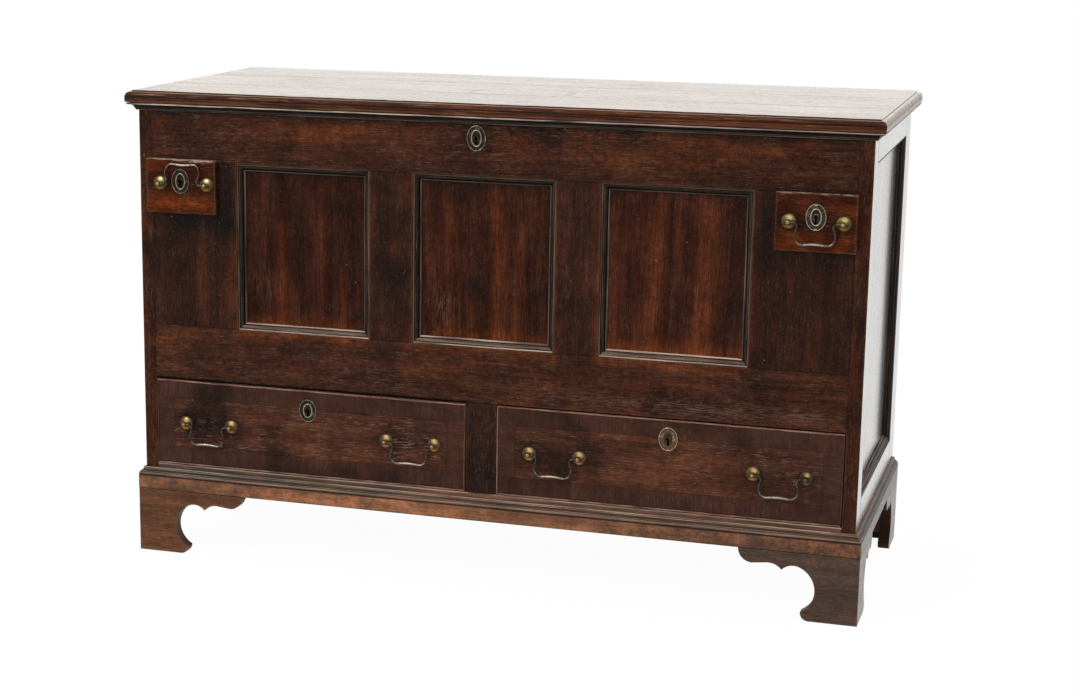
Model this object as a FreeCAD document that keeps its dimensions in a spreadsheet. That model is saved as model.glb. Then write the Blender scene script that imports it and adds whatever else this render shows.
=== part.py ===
import FreeCAD, Part
import Sketcher

import math
import os

# An oak mule chest: a lift-up lid over a deep well, three recessed panels, two drawers in the base.
# Millimetres, +Z up. X runs along the front, the front faces -Y, and the origin is on the floor
# under the middle of the whole chest.

doc = FreeCAD.newDocument("MuleChest")
sheet = doc.addObject("Spreadsheet::Sheet", "Dims")

# ---------------------------------------------------------------- driving dimensions

DRIVING = {
    # carcass
    "carcass_width": 1250,
    "carcass_depth": 516,
    "end_thickness": 23,
    "frame_thickness": 24,
    "panel_recess": 12,
    "panel_thickness": 8,
    "panel_tongue": 6,
    "tenon_length": 14,
    "tenon_shoulder": 15,
    "fit_gap": 0.3,
    # heights, from the floor up
    "foot_height": 114,
    "band_height": 22,
    "base_moulding_height": 16,
    "rail_reveal": 8,
    "drawer_opening_height": 157,
    "lower_rail_height": 94,
    "panel_height": 287,
    "top_rail_height": 100,
    # widths across the front
    "left_panel_inset": 157,
    "left_panel_width": 240,
    "left_muntin_width": 77,
    "right_muntin_width": 76,
    "right_panel_width": 247,
    "right_panel_inset": 162,
    "drawer_muntin_width": 53,
    "drawer_muntin_offset": 4.8,
    # ends
    "end_front_stile_width": 48,
    "end_rear_stile_width": 65,
    "end_top_rail_height": 53,
    "end_bottom_rail_height": 84,
    # mouldings round the panels
    "panel_moulding_width": 12.5,
    "panel_moulding_height": 10,
    "panel_moulding_fillet": 2,
    "panel_moulding_bead": 3.5,
    # back and floor of the well
    "back_thickness": 12,
    "back_rail_thickness": 22,
    "back_rail_height": 50,
    "back_board_count": 3,
    "floor_thickness": 12,
    "floor_above_drawers": 13,
    "floor_housing": 4,
    "floor_board_count": 3,
    # drawer supports
    "partition_thickness": 20,
    "runner_width": 20,
    "runner_height": 20,
    "guide_height": 18,
    "stop_length": 24,
    "stop_height": 22,
    # base
    "band_proud": 10.5,
    "base_moulding_top": 3.5,
    "base_fillet": 2.5,
    "base_nosing_height": 6,
    "foot_thickness": 20,
    "front_bracket_length": 198,
    "side_bracket_length": 160,
    "back_plate_length": 150,
    "foot_sole": 78,
    "glue_block": 28,
    "glue_block_lift": 20,
    # lid
    "lid_thickness": 20,
    "lid_overhang": 18,
    "lid_back_overhang": 2,
    "lid_front_board_width": 178,
    "lid_middle_board_width": 186,
    "lid_edge_inset": 10,
    "lid_edge_step": 2,
    "lid_edge_radius": 8.5,
    "batten_width": 42,
    "batten_thickness": 20,
    "batten_from_centre": 400,
    "batten_length": 400,
    "lid_moulding_height": 12.5,
    "lid_moulding_gap": 1.2,
    "lid_moulding_top": 16,
    "lid_moulding_bottom": 4,
    # hinges
    "hinge_from_centre": 430,
    "hinge_width": 64,
    "leaf_thickness": 2,
    "leaf_depth": 20,
    "knuckle_radius": 4.5,
    "hinge_pin_radius": 2,
    "hinge_clearance": 0.05,
    # false drawer fronts
    "dummy_width": 129,
    "dummy_height": 93.5,
    "dummy_proud": 10,
    "dummy_edge_round": 1.5,
    "left_dummy_inset": 16,
    "right_dummy_inset": 20.5,
    "left_dummy_drop": 95,
    "right_dummy_drop": 98.5,
    # drawers
    "drawer_gap": 1,
    "drawer_front_thickness": 22,
    "drawer_side_thickness": 12,
    "drawer_side_drop": 9,
    "drawer_back_thickness": 12,
    "drawer_bottom_thickness": 8,
    "drawer_bottom_rise": 8,
    "drawer_groove": 5,
    "cockbead_width": 3,
    "cockbead_depth": 10,
    "cockbead_proud": 1.6,
    "dovetail_count": 3,
    "dovetail_width": 32,
    "dovetail_flare": 3,
    # swan-neck pulls
    "pull_centres": 86,
    "pull_reach": 9.5,
    "pull_ball_radius": 4.5,
    "pull_neck_radius": 3.5,
    "pull_shank_radius": 3,
    "rose_radius": 13,
    "rose_thickness": 4.8,
    "rose_dome_radius": 22,
    "nut_size": 12,
    "nut_thickness": 4,
    "shank_spare": 2,
    "bail_radius": 2.1,
    "bail_clearance": 0.05,
    "bail_drop": 35,
    "bail_pin_past": 1,
    "bail_neck_inset": 15,
    "bail_waist_inset": 11,
    "bail_foot_inset": 16,
    "bail_rise": 1.5,
    "bail_neck_bend": 4.5,
    "bail_waist_bend": 9,
    "bail_foot_bend": 9,
    "bail_middle_bend": 40,
    "bail_lean": 11.5,
    "drawer_pull_height": 76.5,
    "left_drawer_inner_pull": 131,
    "right_drawer_inner_pull": 122.5,
    "left_drawer_outer_pull_inset": 98.5,
    "right_drawer_outer_pull_inset": 103,
    "left_dummy_pull_shift": 5.2,
    "right_dummy_pull_shift": 0.5,
    "left_dummy_pull_rise": 4.75,
    "right_dummy_pull_rise": 0.55,
    # escutcheons and locks
    "escutcheon_width": 33,
    "escutcheon_height": 43,
    "drawer_escutcheon_width": 32,
    "drawer_escutcheon_height": 40,
    "escutcheon_thickness": 1.4,
    "escutcheon_rim": 2.6,
    "escutcheon_rim_width": 3,
    "keyhole_radius": 3.6,
    "keyhole_slot_width": 3.4,
    "keyhole_slot_length": 11,
    "lid_lock_offset": 18.7,
    "lid_lock_drop": 37.5,
    "dummy_escutcheon_rise": 9,
    "left_drawer_lock_height": 118,
    "right_drawer_lock_height": 122.5,
    "left_drawer_lock_shift": 0,
    "right_drawer_lock_shift": 3,
    "lid_lock_width": 70,
    "lid_lock_height": 62,
    "lid_lock_depth": 12,
    "lid_bolt_section": 5,
    "lid_bolt_length": 24,
    "lid_bolt_throw": 12,
    "catch_width": 46,
    "catch_depth": 20,
    "staple_thickness": 4,
    "staple_width": 10,
    "staple_drop": 14,
    "staple_room": 1.2,
    "drawer_lock_width": 56,
    "drawer_lock_case_height": 50,
    "drawer_lock_depth": 11,
    "drawer_bolt_width": 24,
    "drawer_bolt_thickness": 5,
    "drawer_bolt_height": 14,
    "drawer_bolt_throw": 7,
}


class Size:
    # A length that carries its number and the sheet expression it comes from,
    # so that a box is placed by arithmetic and stays bound to the sheet.
    def __init__(self, number, text):
        self.number = float(number)
        self.text = text

    def __add__(self, other):
        other = sized(other)
        return Size(self.number + other.number, f"({self.text} + {other.text})")

    def __radd__(self, other):
        return sized(other) + self

    def __sub__(self, other):
        other = sized(other)
        return Size(self.number - other.number, f"({self.text} - {other.text})")

    def __rsub__(self, other):
        return sized(other) - self

    def __mul__(self, factor):
        return Size(self.number * factor, f"({self.text} * {factor})")

    def __rmul__(self, factor):
        return self * factor

    def __truediv__(self, divisor):
        return Size(self.number / divisor, f"({self.text} / {divisor})")

    def __neg__(self):
        return self * -1

    def __float__(self):
        return self.number


def sized(value):
    if isinstance(value, Size):
        return value
    return Size(value, repr(float(value)))


d = {}
for row, (alias, number) in enumerate(DRIVING.items(), start=1):
    sheet.set(f"A{row}", alias)
    sheet.set(f"B{row}", str(number))
    sheet.setAlias(f"B{row}", alias)
    d[alias] = Size(number, f"Dims.{alias}")
doc.recompute()

X_AXIS = FreeCAD.Vector(1, 0, 0)
Y_AXIS = FreeCAD.Vector(0, 1, 0)
Z_AXIS = FreeCAD.Vector(0, 0, 1)
nodes = {}

# ---------------------------------------------------------------- places worked out from the sizes

band_base = d["foot_height"]
band_top = band_base + d["band_height"]
base_moulding_top = band_top + d["base_moulding_height"]
drawer_base = base_moulding_top + d["rail_reveal"]
drawer_top = drawer_base + d["drawer_opening_height"]
panel_base = drawer_top + d["lower_rail_height"]
panel_top = panel_base + d["panel_height"]
carcass_top = panel_top + d["top_rail_height"]
lid_top = carcass_top + d["lid_thickness"]

half_width = d["carcass_width"] / 2
inner_half = half_width - d["end_thickness"]
hinge_back = d["carcass_depth"] + d["lid_back_overhang"] + d["fit_gap"] + d["knuckle_radius"]
handle_front = d["dummy_proud"] + d["pull_reach"] + d["pull_ball_radius"]

# The chest's depth runs from the foremost pull to the back of the hinge knuckles,
# and the origin is in the middle of that.
front = (handle_front - hinge_back - d["knuckle_radius"]) / 2
back = front + d["carcass_depth"]
hinge_y = front + hinge_back
frame_back = front + d["frame_thickness"]
panel_face = front + d["panel_recess"]
panel_rear = panel_face + d["panel_thickness"]
board_face = back - d["back_thickness"]
back_rail_face = back - d["back_rail_thickness"]

panel_one_left = d["left_panel_inset"] - inner_half
panel_one_right = panel_one_left + d["left_panel_width"]
panel_two_left = panel_one_right + d["left_muntin_width"]
panel_three_right = inner_half - d["right_panel_inset"]
panel_three_left = panel_three_right - d["right_panel_width"]
panel_two_right = panel_three_left - d["right_muntin_width"]
panel_spans = [
    (panel_one_left, panel_one_right),
    (panel_two_left, panel_two_right),
    (panel_three_left, panel_three_right),
]
upright_spans = [
    (-inner_half, panel_one_left),
    (panel_one_right, panel_two_left),
    (panel_two_right, panel_three_left),
    (panel_three_right, inner_half),
]
muntin_centre = -d["drawer_muntin_offset"]
muntin_left = muntin_centre - d["drawer_muntin_width"] / 2
muntin_right = muntin_centre + d["drawer_muntin_width"] / 2
floor_base = drawer_top + d["floor_above_drawers"]
floor_top = floor_base + d["floor_thickness"]

# ---------------------------------------------------------------- small tools


def node(label, thing):
    # A finished sub-part; a list becomes one group of separate solids.
    if isinstance(thing, list):
        group = doc.addObject("Part::Compound", "Group")
        group.Links = thing
        thing = group
    thing.Label = label
    nodes[label] = thing
    return thing


def bind(thing, name, size):
    size = sized(size)
    thing.setExpression(name, size.text)


def box(x0, x1, y0, y1, z0, z1, name="Board"):
    board = doc.addObject("Part::Box", name)
    bind(board, "Length", sized(x1) - x0)
    bind(board, "Width", sized(y1) - y0)
    bind(board, "Height", sized(z1) - z0)
    bind(board, "Placement.Base.x", x0)
    bind(board, "Placement.Base.y", y0)
    bind(board, "Placement.Base.z", z0)
    return board


def rod(x, y, z, radius, length, axis, name="Rod"):
    # A cylinder that starts at a point and runs along an axis.
    bar = doc.addObject("Part::Cylinder", name)
    bind(bar, "Radius", radius)
    bind(bar, "Height", length)
    bar.Placement.Rotation = FreeCAD.Rotation(Z_AXIS, axis)
    bind(bar, "Placement.Base.x", x)
    bind(bar, "Placement.Base.y", y)
    bind(bar, "Placement.Base.z", z)
    return bar


def ball(x, y, z, radius, name="Ball"):
    sphere = doc.addObject("Part::Sphere", name)
    bind(sphere, "Radius", radius)
    bind(sphere, "Placement.Base.x", x)
    bind(sphere, "Placement.Base.y", y)
    bind(sphere, "Placement.Base.z", z)
    return sphere


def fuse(things, name="Joined"):
    joined = doc.addObject("Part::MultiFuse", name)
    joined.Shapes = things
    joined.Refine = True
    return joined


def cut(base, tools, name="Worked"):
    worked = doc.addObject("Part::Cut", name)
    worked.Base = base
    worked.Tool = tools[0] if len(tools) == 1 else fuse(tools, "Cutters")
    return worked


def common(base, tool, name="Shared"):
    shared = doc.addObject("Part::Common", name)
    shared.Base = base
    shared.Tool = tool
    return shared


def vector(x, y, z):
    return FreeCAD.Vector(float(x), float(y), float(z))


def outlineFace(path, across, up):
    # A closed outline. A pair of points in the path is an arc: through the first, to the second.
    def place(point):
        return across * float(point[0]) + up * float(point[1])

    edges = []
    here = path[0]
    for step in path[1:] + [path[0]]:
        if isinstance(step[0], tuple):
            edges.append(Part.Arc(place(here), place(step[0]), place(step[1])).toShape())
            here = step[1]
        elif math.dist([float(v) for v in here], [float(v) for v in step]) > 1e-6:
            edges.append(Part.makeLine(place(here), place(step)))
            here = step
    return Part.Face(Part.Wire(edges))


def feature(shape, corner, name="Shaped"):
    shaped = doc.addObject("Part::Feature", name)
    shaped.Shape = shape
    shaped.Placement.Base = corner
    return shaped


def mouldedRun(section, corner, run, out, up, length, mitres=(0, 0), name="Strip"):
    # A strip of one section, with an end mitred longer (1), shorter (-1) or square (0) towards its face.
    length = float(length)
    face = outlineFace(section, out, up)
    bounds = face.BoundBox
    reach = bounds.DiagonalLength + 1.0
    strip = face.translated(run * -reach).extrude(run * (length + 2 * reach))
    start = [(-reach * mitres[0] * side, reach * side) for side in (-1, 1)]
    end = [(length + reach * mitres[1] * side, reach * side) for side in (1, -1)]
    saw = outlineFace(start + end, run, out).translated(up * -reach).extrude(up * (2 * reach))
    return feature(strip.common(saw), corner, name)


def mitredFrame(section, corner, along, up, width, height, name="Strip"):
    # Four mitred strips round an opening. The section runs inwards from the opening's edge, and outwards.
    outward = along.cross(up)
    width = float(width)
    height = float(height)
    runs = [
        (corner, along, up, width),
        (corner + along * width, up, along * -1, height),
        (corner + along * width + up * height, along * -1, up * -1, width),
        (corner + up * height, up * -1, along, height),
    ]
    return [
        mouldedRun(section, start, run, inwards, outward, length, (-1, -1), name)
        for start, run, inwards, length in runs
    ]


def returnedRun(section, base, overall_back, name="Run"):
    # A moulding planted along the front and back along both ends, mitred at the front corners.
    left = vector(-half_width, front, base)
    right = vector(half_width, front, base)
    rear = vector(half_width, overall_back, base)
    width = 2 * float(half_width)
    depth = float(overall_back) - float(front)
    return [
        mouldedRun(section, right, X_AXIS * -1, Y_AXIS * -1, Z_AXIS, width, (1, 1), name),
        mouldedRun(section, left, Y_AXIS, X_AXIS * -1, Z_AXIS, depth, (1, 0), name),
        mouldedRun(section, rear, Y_AXIS * -1, X_AXIS, Z_AXIS, depth, (0, 1), name),
    ]


def mirrored(side, inner, outer):
    # The x range between two distances from the middle, on the left (-1) or right (1).
    return (-outer, -inner) if side < 0 else (inner, outer)


def padded(name, width, height, thickness, corner, plane="XY_Plane"):
    # A plate in a Body of its own: a sketched rectangle with its corner at the origin, padded
    # along the plane's own normal (+Z from XY, -Y from XZ), lying at a place given by the sheet.
    body = doc.addObject("PartDesign::Body", name)
    sketch = body.newObject("Sketcher::SketchObject", name + "Outline")
    datum = [f for f in body.Origin.OriginFeatures if f.Role == plane][0]
    sketch.AttachmentSupport = [(datum, "")]
    sketch.MapMode = "FlatFace"
    across = float(width)
    along = float(height)
    corners = [vector(0, 0, 0), vector(across, 0, 0), vector(across, along, 0), vector(0, along, 0)]
    for index in range(4):
        sketch.addGeometry(Part.LineSegment(corners[index], corners[(index + 1) % 4]), False)
    for index in range(4):
        sketch.addConstraint(Sketcher.Constraint("Coincident", index, 2, (index + 1) % 4, 1))
    for index, kind in enumerate(("Horizontal", "Vertical", "Horizontal", "Vertical")):
        sketch.addConstraint(Sketcher.Constraint(kind, index))
    sketch.addConstraint(Sketcher.Constraint("Coincident", 0, 1, -1, 1))
    for line, kind, size in ((0, "DistanceX", width), (1, "DistanceY", height)):
        number = sketch.addConstraint(Sketcher.Constraint(kind, line, 1, line, 2, float(size)))
        sketch.setExpression(f"Constraints[{number}]", sized(size).text)
    pad = body.newObject("PartDesign::Pad", name + "Pad")
    pad.Profile = sketch
    bind(pad, "Length", thickness)
    body.Tip = pad
    for letter, size in zip("xyz", corner):
        bind(body, f"Placement.Base.{letter}", size)
    return body, pad


def rounded(body, pad, radius, wanted):
    # Rounds the edges of a pad that the test picks out.
    doc.recompute()
    names = [f"Edge{i + 1}" for i, edge in enumerate(pad.Shape.Edges) if wanted(edge)]
    fillet = body.newObject("PartDesign::Fillet", body.Name + "Round")
    fillet.Base = (pad, names)
    bind(fillet, "Radius", radius)
    body.Tip = fillet
    return body


# ---------------------------------------------------------------- sections

def panelMouldingSection():
    # Outwards from the panel: a fillet, a hollow and a small bead against the panel.
    width = float(d["panel_moulding_width"])
    height = float(d["panel_moulding_height"])
    fillet = float(d["panel_moulding_fillet"])
    bead = float(d["panel_moulding_bead"])
    turn = math.sqrt(0.5)
    hollow_end = width - bead - fillet / 2
    hollow = hollow_end - fillet
    fall = height - bead
    return [
        (0, 0),
        (width, 0),
        ((width - bead * (1 - turn), bead * turn), (width - bead, bead)),
        (hollow_end, bead),
        ((fillet + hollow * (1 - turn), bead + fall * (1 - turn)), (fillet, height)),
        (0, height),
    ]


def cockbeadSection():
    # Inwards from the drawer's edge: a flat strip with a round nose in front of the drawer's face.
    width = float(d["cockbead_width"])
    depth = float(d["cockbead_depth"])
    proud = float(d["cockbead_proud"])
    return [
        (0, -depth),
        (width, -depth),
        (width, proud - width / 2),
        ((width / 2, proud), (0, proud - width / 2)),
    ]


def baseMouldingSection():
    # Outwards from the carcass: a nosing flush with the band, a hollow, and a top fillet.
    height = float(d["base_moulding_height"])
    top = float(d["base_moulding_top"])
    fillet = float(d["base_fillet"])
    nosing = float(d["base_nosing_height"])
    proud = float(d["band_proud"])
    ledge = proud - fillet * 0.6
    turn = math.sqrt(0.5)
    run = ledge - top
    rise = height - fillet - nosing
    return [
        (0, 0),
        (ledge, 0),
        ((proud, nosing / 2), (ledge, nosing)),
        ((top + run * (1 - turn), nosing + rise * (1 - turn)), (top, height - fillet)),
        (top, height),
        (0, height),
    ]


def lidMouldingSection():
    # Outwards from the carcass: a bottom fillet, a hollow that spreads under the lid, a top fillet.
    height = float(d["lid_moulding_height"])
    top = float(d["lid_moulding_top"])
    bottom = float(d["lid_moulding_bottom"])
    fillet = height * 0.2
    turn = math.sqrt(0.5)
    rise = height - 2 * fillet
    reach = top - bottom
    return [
        (0, 0),
        (bottom, 0),
        (bottom, fillet),
        ((bottom + reach * (1 - turn), fillet + rise * turn), (top, height - fillet)),
        (top, height),
        (0, height),
    ]


def lidEdgeCutter():
    # What is worked off the lid's edge: a step down from the top, then a quarter round to the edge.
    inset = float(d["lid_edge_inset"])
    step = float(d["lid_edge_step"])
    radius = float(d["lid_edge_radius"])
    turn = math.sqrt(0.5)
    spare = 1.0
    return [
        (-inset, spare),
        (-inset, -step),
        (-radius, -step),
        ((-radius * (1 - turn), -step - radius * (1 - turn)), (0, -step - radius)),
        (spare, -step - radius),
        (spare, spare),
    ]


def bracketOutline(length):
    # A bracket foot from its corner inwards, from the floor up: the sole, a turned-up toe, a round
    # hollow, a small arch down to a cusp, a second arch, and a last hollow up to the band.
    height = float(d["foot_height"])
    sole = float(d["foot_sole"])
    length = float(length)
    wing = (length - sole) / 120
    rise = height / 114
    cusp = sole + 47.5 * wing
    arch = sole + 17 * wing
    return [
        (0, 0),
        (sole, 0),
        ((sole + 11 * wing, 4 * rise), (sole + 15 * wing, 14 * rise)),
        ((sole - 7 * wing, 47 * rise), (arch, 89 * rise)),
        ((arch + 17 * wing, 91 * rise), (cusp, 83 * rise)),
        ((cusp + 9 * wing, 90 * rise), (cusp + 23 * wing, 93 * rise)),
        (length - 22 * wing, 90 * rise),
        ((length - 7 * wing, 97 * rise), (length, height)),
        (0, height),
    ]


# ---------------------------------------------------------------- fittings that are made more than once

room = d["fit_gap"]
post_half = d["pull_centres"] / 2


def keyhole(x, z, face, depth):
    # A round hole with a slot below it, cut in from a face that looks towards -Y.
    eye = rod(x, face, z, d["keyhole_radius"], depth, Y_AXIS, "KeyEye")
    half = d["keyhole_slot_width"] / 2
    slot = box(x - half, x + half, face, face + depth, z - d["keyhole_slot_length"], z, "KeySlot")
    return fuse([eye, slot], "Keyhole")


def pullPosts(x, z, face, through):
    # Two ball-headed posts, each through a domed rose and the board behind, with a nut at the back.
    pieces = []
    pivot = face - d["pull_reach"]
    rose_front = face - d["rose_thickness"]
    nut_face = face + through
    hole_radius = d["pull_shank_radius"] + room
    for side in (-1, 1):
        post_x = x + post_half * side
        shank = d["pull_reach"] + through + d["nut_thickness"] + d["shank_spare"]
        head = fuse([
            ball(post_x, pivot, z, d["pull_ball_radius"]),
            rod(post_x, pivot, z, d["pull_neck_radius"], d["pull_reach"] - d["rose_thickness"], Y_AXIS),
            rod(post_x, pivot, z, d["pull_shank_radius"], shank, Y_AXIS),
        ], "Post")
        # The hole for the bail goes in from the inner side, a little past the middle of the ball.
        inner_side = post_x - d["pull_ball_radius"] * side
        depth = d["pull_ball_radius"] + d["bail_pin_past"] + room
        eye = rod(inner_side, pivot, z, d["bail_radius"] + d["bail_clearance"], depth, X_AXIS * side, "Eye")
        pieces.append(cut(head, [eye], "Post"))
        # The rose is a slice off a large ball.
        disc = rod(post_x, rose_front, z, d["rose_radius"], d["rose_thickness"], Y_AXIS, "RoseDisc")
        dome = ball(post_x, rose_front + d["rose_dome_radius"], z, d["rose_dome_radius"], "RoseDome")
        rose_hole = rod(post_x, rose_front, z, hole_radius, d["rose_thickness"], Y_AXIS, "RoseHole")
        pieces.append(cut(common(disc, dome), [rose_hole], "Rose"))
        nut_half = d["nut_size"] / 2
        nut = box(
            post_x - nut_half, post_x + nut_half, nut_face, nut_face + d["nut_thickness"],
            z - nut_half, z + nut_half, "Nut",
        )
        pieces.append(cut(nut, [rod(post_x, nut_face, z, hole_radius, d["nut_thickness"], Y_AXIS)], "Nut"))
    return pieces


def postHoles(x, z, face, depth):
    return [
        rod(x + post_half * side, face, z, d["pull_shank_radius"] + room, depth, Y_AXIS, "ShankHole")
        for side in (-1, 1)
    ]


def bail(label, x, z, face, down):
    # A swan-neck wire: pins into both posts, in at the neck, out at the waist, a bar with a small rise.
    half = float(post_half)
    drop = float(d["bail_drop"])
    right = [
        (half + float(d["bail_pin_past"]), 0),
        (half - float(d["bail_neck_inset"]), 0),
        (half - float(d["bail_waist_inset"]), drop * 0.52),
        (half - float(d["bail_foot_inset"]), drop),
        (0, drop - float(d["bail_rise"])),
    ]
    bends = [float(d["bail_neck_bend"]), float(d["bail_waist_bend"]), float(d["bail_foot_bend"])]
    bends = bends + [float(d["bail_middle_bend"])] + bends[::-1]
    path = right + [(-u, w) for u, w in right[-2::-1]]
    points = [X_AXIS * u + down * w for u, w in path]
    edges = []
    here = points[0]
    for index, bend in enumerate(bends, start=1):
        corner = points[index]
        arriving = (points[index - 1] - corner).normalize()
        leaving = (points[index + 1] - corner).normalize()
        half_angle = arriving.getAngle(leaving) / 2
        back_off = bend / math.tan(half_angle)
        bisector = (arriving + leaving).normalize()
        first = corner + arriving * back_off
        last = corner + leaving * back_off
        crown = corner + bisector * (bend / math.sin(half_angle) - bend)
        edges.append(Part.makeLine(here, first))
        edges.append(Part.Arc(first, crown, last).toShape())
        here = last
    edges.append(Part.makeLine(here, points[-1]))
    spine = Part.Wire(edges)
    ring = Part.Wire([Part.Circle(points[0], X_AXIS, float(d["bail_radius"])).toShape()])
    wire = spine.makePipeShell([ring], True, False)
    return node(label, feature(wire, vector(x, face - d["pull_reach"], z), "Bail"))


def escutcheon(x, z, face, width, height):
    # An oval plate with a raised rim, pierced by the keyhole.
    def oval(inwards, thickness):
        curve = doc.addObject("Part::Ellipse", "Oval")
        bind(curve, "MajorRadius", height / 2 - inwards)
        bind(curve, "MinorRadius", width / 2 - inwards)
        curve.Placement.Rotation = FreeCAD.Rotation(Z_AXIS, X_AXIS, Y_AXIS, "ZXY")
        bind(curve, "Placement.Base.x", x)
        bind(curve, "Placement.Base.y", face)
        bind(curve, "Placement.Base.z", z)
        plate = doc.addObject("Part::Extrusion", "OvalPlate")
        plate.Base = curve
        plate.DirMode = "Custom"
        plate.Dir = Y_AXIS * -1
        plate.Solid = True
        bind(plate, "LengthFwd", thickness)
        return plate

    inside = oval(d["escutcheon_rim_width"], d["escutcheon_rim"])
    rim = cut(oval(sized(0), d["escutcheon_rim"]), [inside], "Rim")
    plate = fuse([oval(sized(0), d["escutcheon_thickness"]), rim], "Plate")
    return cut(plate, [keyhole(x, z, face - d["escutcheon_rim"], d["escutcheon_rim"])], "Escutcheon")


# ---------------------------------------------------------------- ends

def frontRails():
    return [(band_base, drawer_base), (drawer_top, panel_base), (panel_top, carcass_top)]


def backRails():
    return [(band_base, drawer_base), (carcass_top - d["back_rail_height"], carcass_top)]


def tenonBox(side, near, low, high):
    # A rail's tenon, let into the end's stile on one side.
    x0, x1 = mirrored(side, inner_half, inner_half + d["tenon_length"])
    shoulder = d["tenon_shoulder"]
    return box(x0, x1, near, near + d["panel_thickness"], low + shoulder, high - shoulder, "Tenon")


back_tenon_y = back - (d["back_rail_thickness"] + d["panel_thickness"]) / 2


def buildEnd(side, word):
    x0, x1 = mirrored(side, inner_half, half_width)
    panel_outer = half_width - d["panel_recess"]
    panel_x0, panel_x1 = mirrored(side, panel_outer - d["panel_thickness"], panel_outer)
    near = front + d["end_front_stile_width"]
    far = back - d["end_rear_stile_width"]
    low = band_base + d["end_bottom_rail_height"]
    high = carcass_top - d["end_top_rail_height"]
    tongue = d["panel_tongue"]
    tenon = d["tenon_length"]
    shoulder = d["tenon_shoulder"]

    panel = box(panel_x0, panel_x1, near - tongue, far + tongue, low - tongue, high + tongue)
    node(f"{word}_end_panel", panel)

    rails = []
    mortises = [panel]
    for base, top in ((band_base, low), (high, carcass_top)):
        tenons = box(panel_x0, panel_x1, near - tenon, far + tenon, base + shoulder, top - shoulder, "Tenon")
        rails.append(cut(fuse([box(x0, x1, near, far, base, top), tenons]), [panel]))
        mortises.append(tenons)
    front_tenons = [tenonBox(side, panel_face, base, top) for base, top in frontRails()]
    back_tenons = [tenonBox(side, back_tenon_y, base, top) for base, top in backRails()]
    front_stile = cut(box(x0, x1, front, near, band_base, carcass_top), mortises + front_tenons)
    rear_stile = cut(box(x0, x1, far, back, band_base, carcass_top), mortises + back_tenons)
    node(f"{word}_end_frame", [front_stile, rear_stile] + rails)

    start = near if side > 0 else far
    corner = vector(side * float(panel_outer), start, low)
    return mitredFrame(panelMouldingSection(), corner, Y_AXIS * side, Z_AXIS, far - near, high - low)


node("end_panel_mouldings", buildEnd(-1, "left") + buildEnd(1, "right"))

# ---------------------------------------------------------------- false drawer fronts

left_dummy_x = d["left_dummy_inset"] - half_width
left_dummy_z = carcass_top - d["left_dummy_drop"] - d["dummy_height"]
right_dummy_x = half_width - d["right_dummy_inset"] - d["dummy_width"]
right_dummy_z = carcass_top - d["right_dummy_drop"] - d["dummy_height"]
dummy_face = front - d["dummy_proud"]
half_dummy_width = d["dummy_width"] / 2
half_dummy_height = d["dummy_height"] / 2
left_pull_x = left_dummy_x + half_dummy_width + d["left_dummy_pull_shift"]
left_pull_z = left_dummy_z + half_dummy_height + d["left_dummy_pull_rise"]
right_pull_x = right_dummy_x + half_dummy_width + d["right_dummy_pull_shift"]
right_pull_z = right_dummy_z + half_dummy_height + d["right_dummy_pull_rise"]


def dummyFront(word, left, low, pull_x, pull_z):
    # A thin board planted on the front, its arrises taken off, with holes for its pull.
    body, pad = padded(
        f"{word}DummyFront", d["dummy_width"], d["dummy_height"], d["dummy_proud"],
        (left, front, low), "XZ_Plane",
    )
    proud = float(d["dummy_proud"])
    rounded(
        body, pad, d["dummy_edge_round"],
        lambda edge: all(abs(vertex.Y + proud) < 0.001 for vertex in edge.Vertexes),
    )
    holes = postHoles(pull_x, pull_z, dummy_face, d["dummy_proud"])
    return node(f"{word}_dummy_front", cut(body, holes))


dummyFront("left", left_dummy_x, left_dummy_z, left_pull_x, left_pull_z)
dummyFront("right", right_dummy_x, right_dummy_z, right_pull_x, right_pull_z)

# The left pull is thrown up and leans back on its board; the right one hangs.
lean = math.radians(float(d["bail_lean"]))
hanging = Z_AXIS * -1
thrown_up = FreeCAD.Vector(0, math.sin(lean), math.cos(lean))
dummy_through = d["dummy_proud"] + d["frame_thickness"]
dummy_posts = pullPosts(left_pull_x, left_pull_z, dummy_face, dummy_through)
dummy_posts += pullPosts(right_pull_x, right_pull_z, dummy_face, dummy_through)
node("dummy_pull_posts", dummy_posts)
bail("left_dummy_bail", left_pull_x, left_pull_z, dummy_face, thrown_up)
bail("right_dummy_bail", right_pull_x, right_pull_z, dummy_face, hanging)
left_stile_holes = postHoles(left_pull_x, left_pull_z, front, d["frame_thickness"])
right_stile_holes = postHoles(right_pull_x, right_pull_z, front, d["frame_thickness"])

# ---------------------------------------------------------------- front frame

panel_tongue = d["panel_tongue"]
panel_boards = []
panel_strips = []
for left, right in panel_spans:
    panel_boards.append(
        box(
            left - panel_tongue, right + panel_tongue, panel_face, panel_rear,
            panel_base - panel_tongue, panel_top + panel_tongue,
        )
    )
    corner = vector(left, panel_face, panel_base)
    panel_strips += mitredFrame(
        panelMouldingSection(), corner, X_AXIS, Z_AXIS, right - left, panel_top - panel_base
    )
node("front_panels", panel_boards)
node("front_panel_mouldings", panel_strips)


def upright(left, right, low, high):
    # A board between two rails and the tenon it carries at both ends.
    inset = panel_tongue * 2
    tenon = box(
        left + inset, right - inset, panel_face, panel_rear,
        low - d["tenon_length"], high + d["tenon_length"], "Tenon",
    )
    return fuse([box(left, right, front, frame_back, low, high), tenon]), tenon


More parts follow.
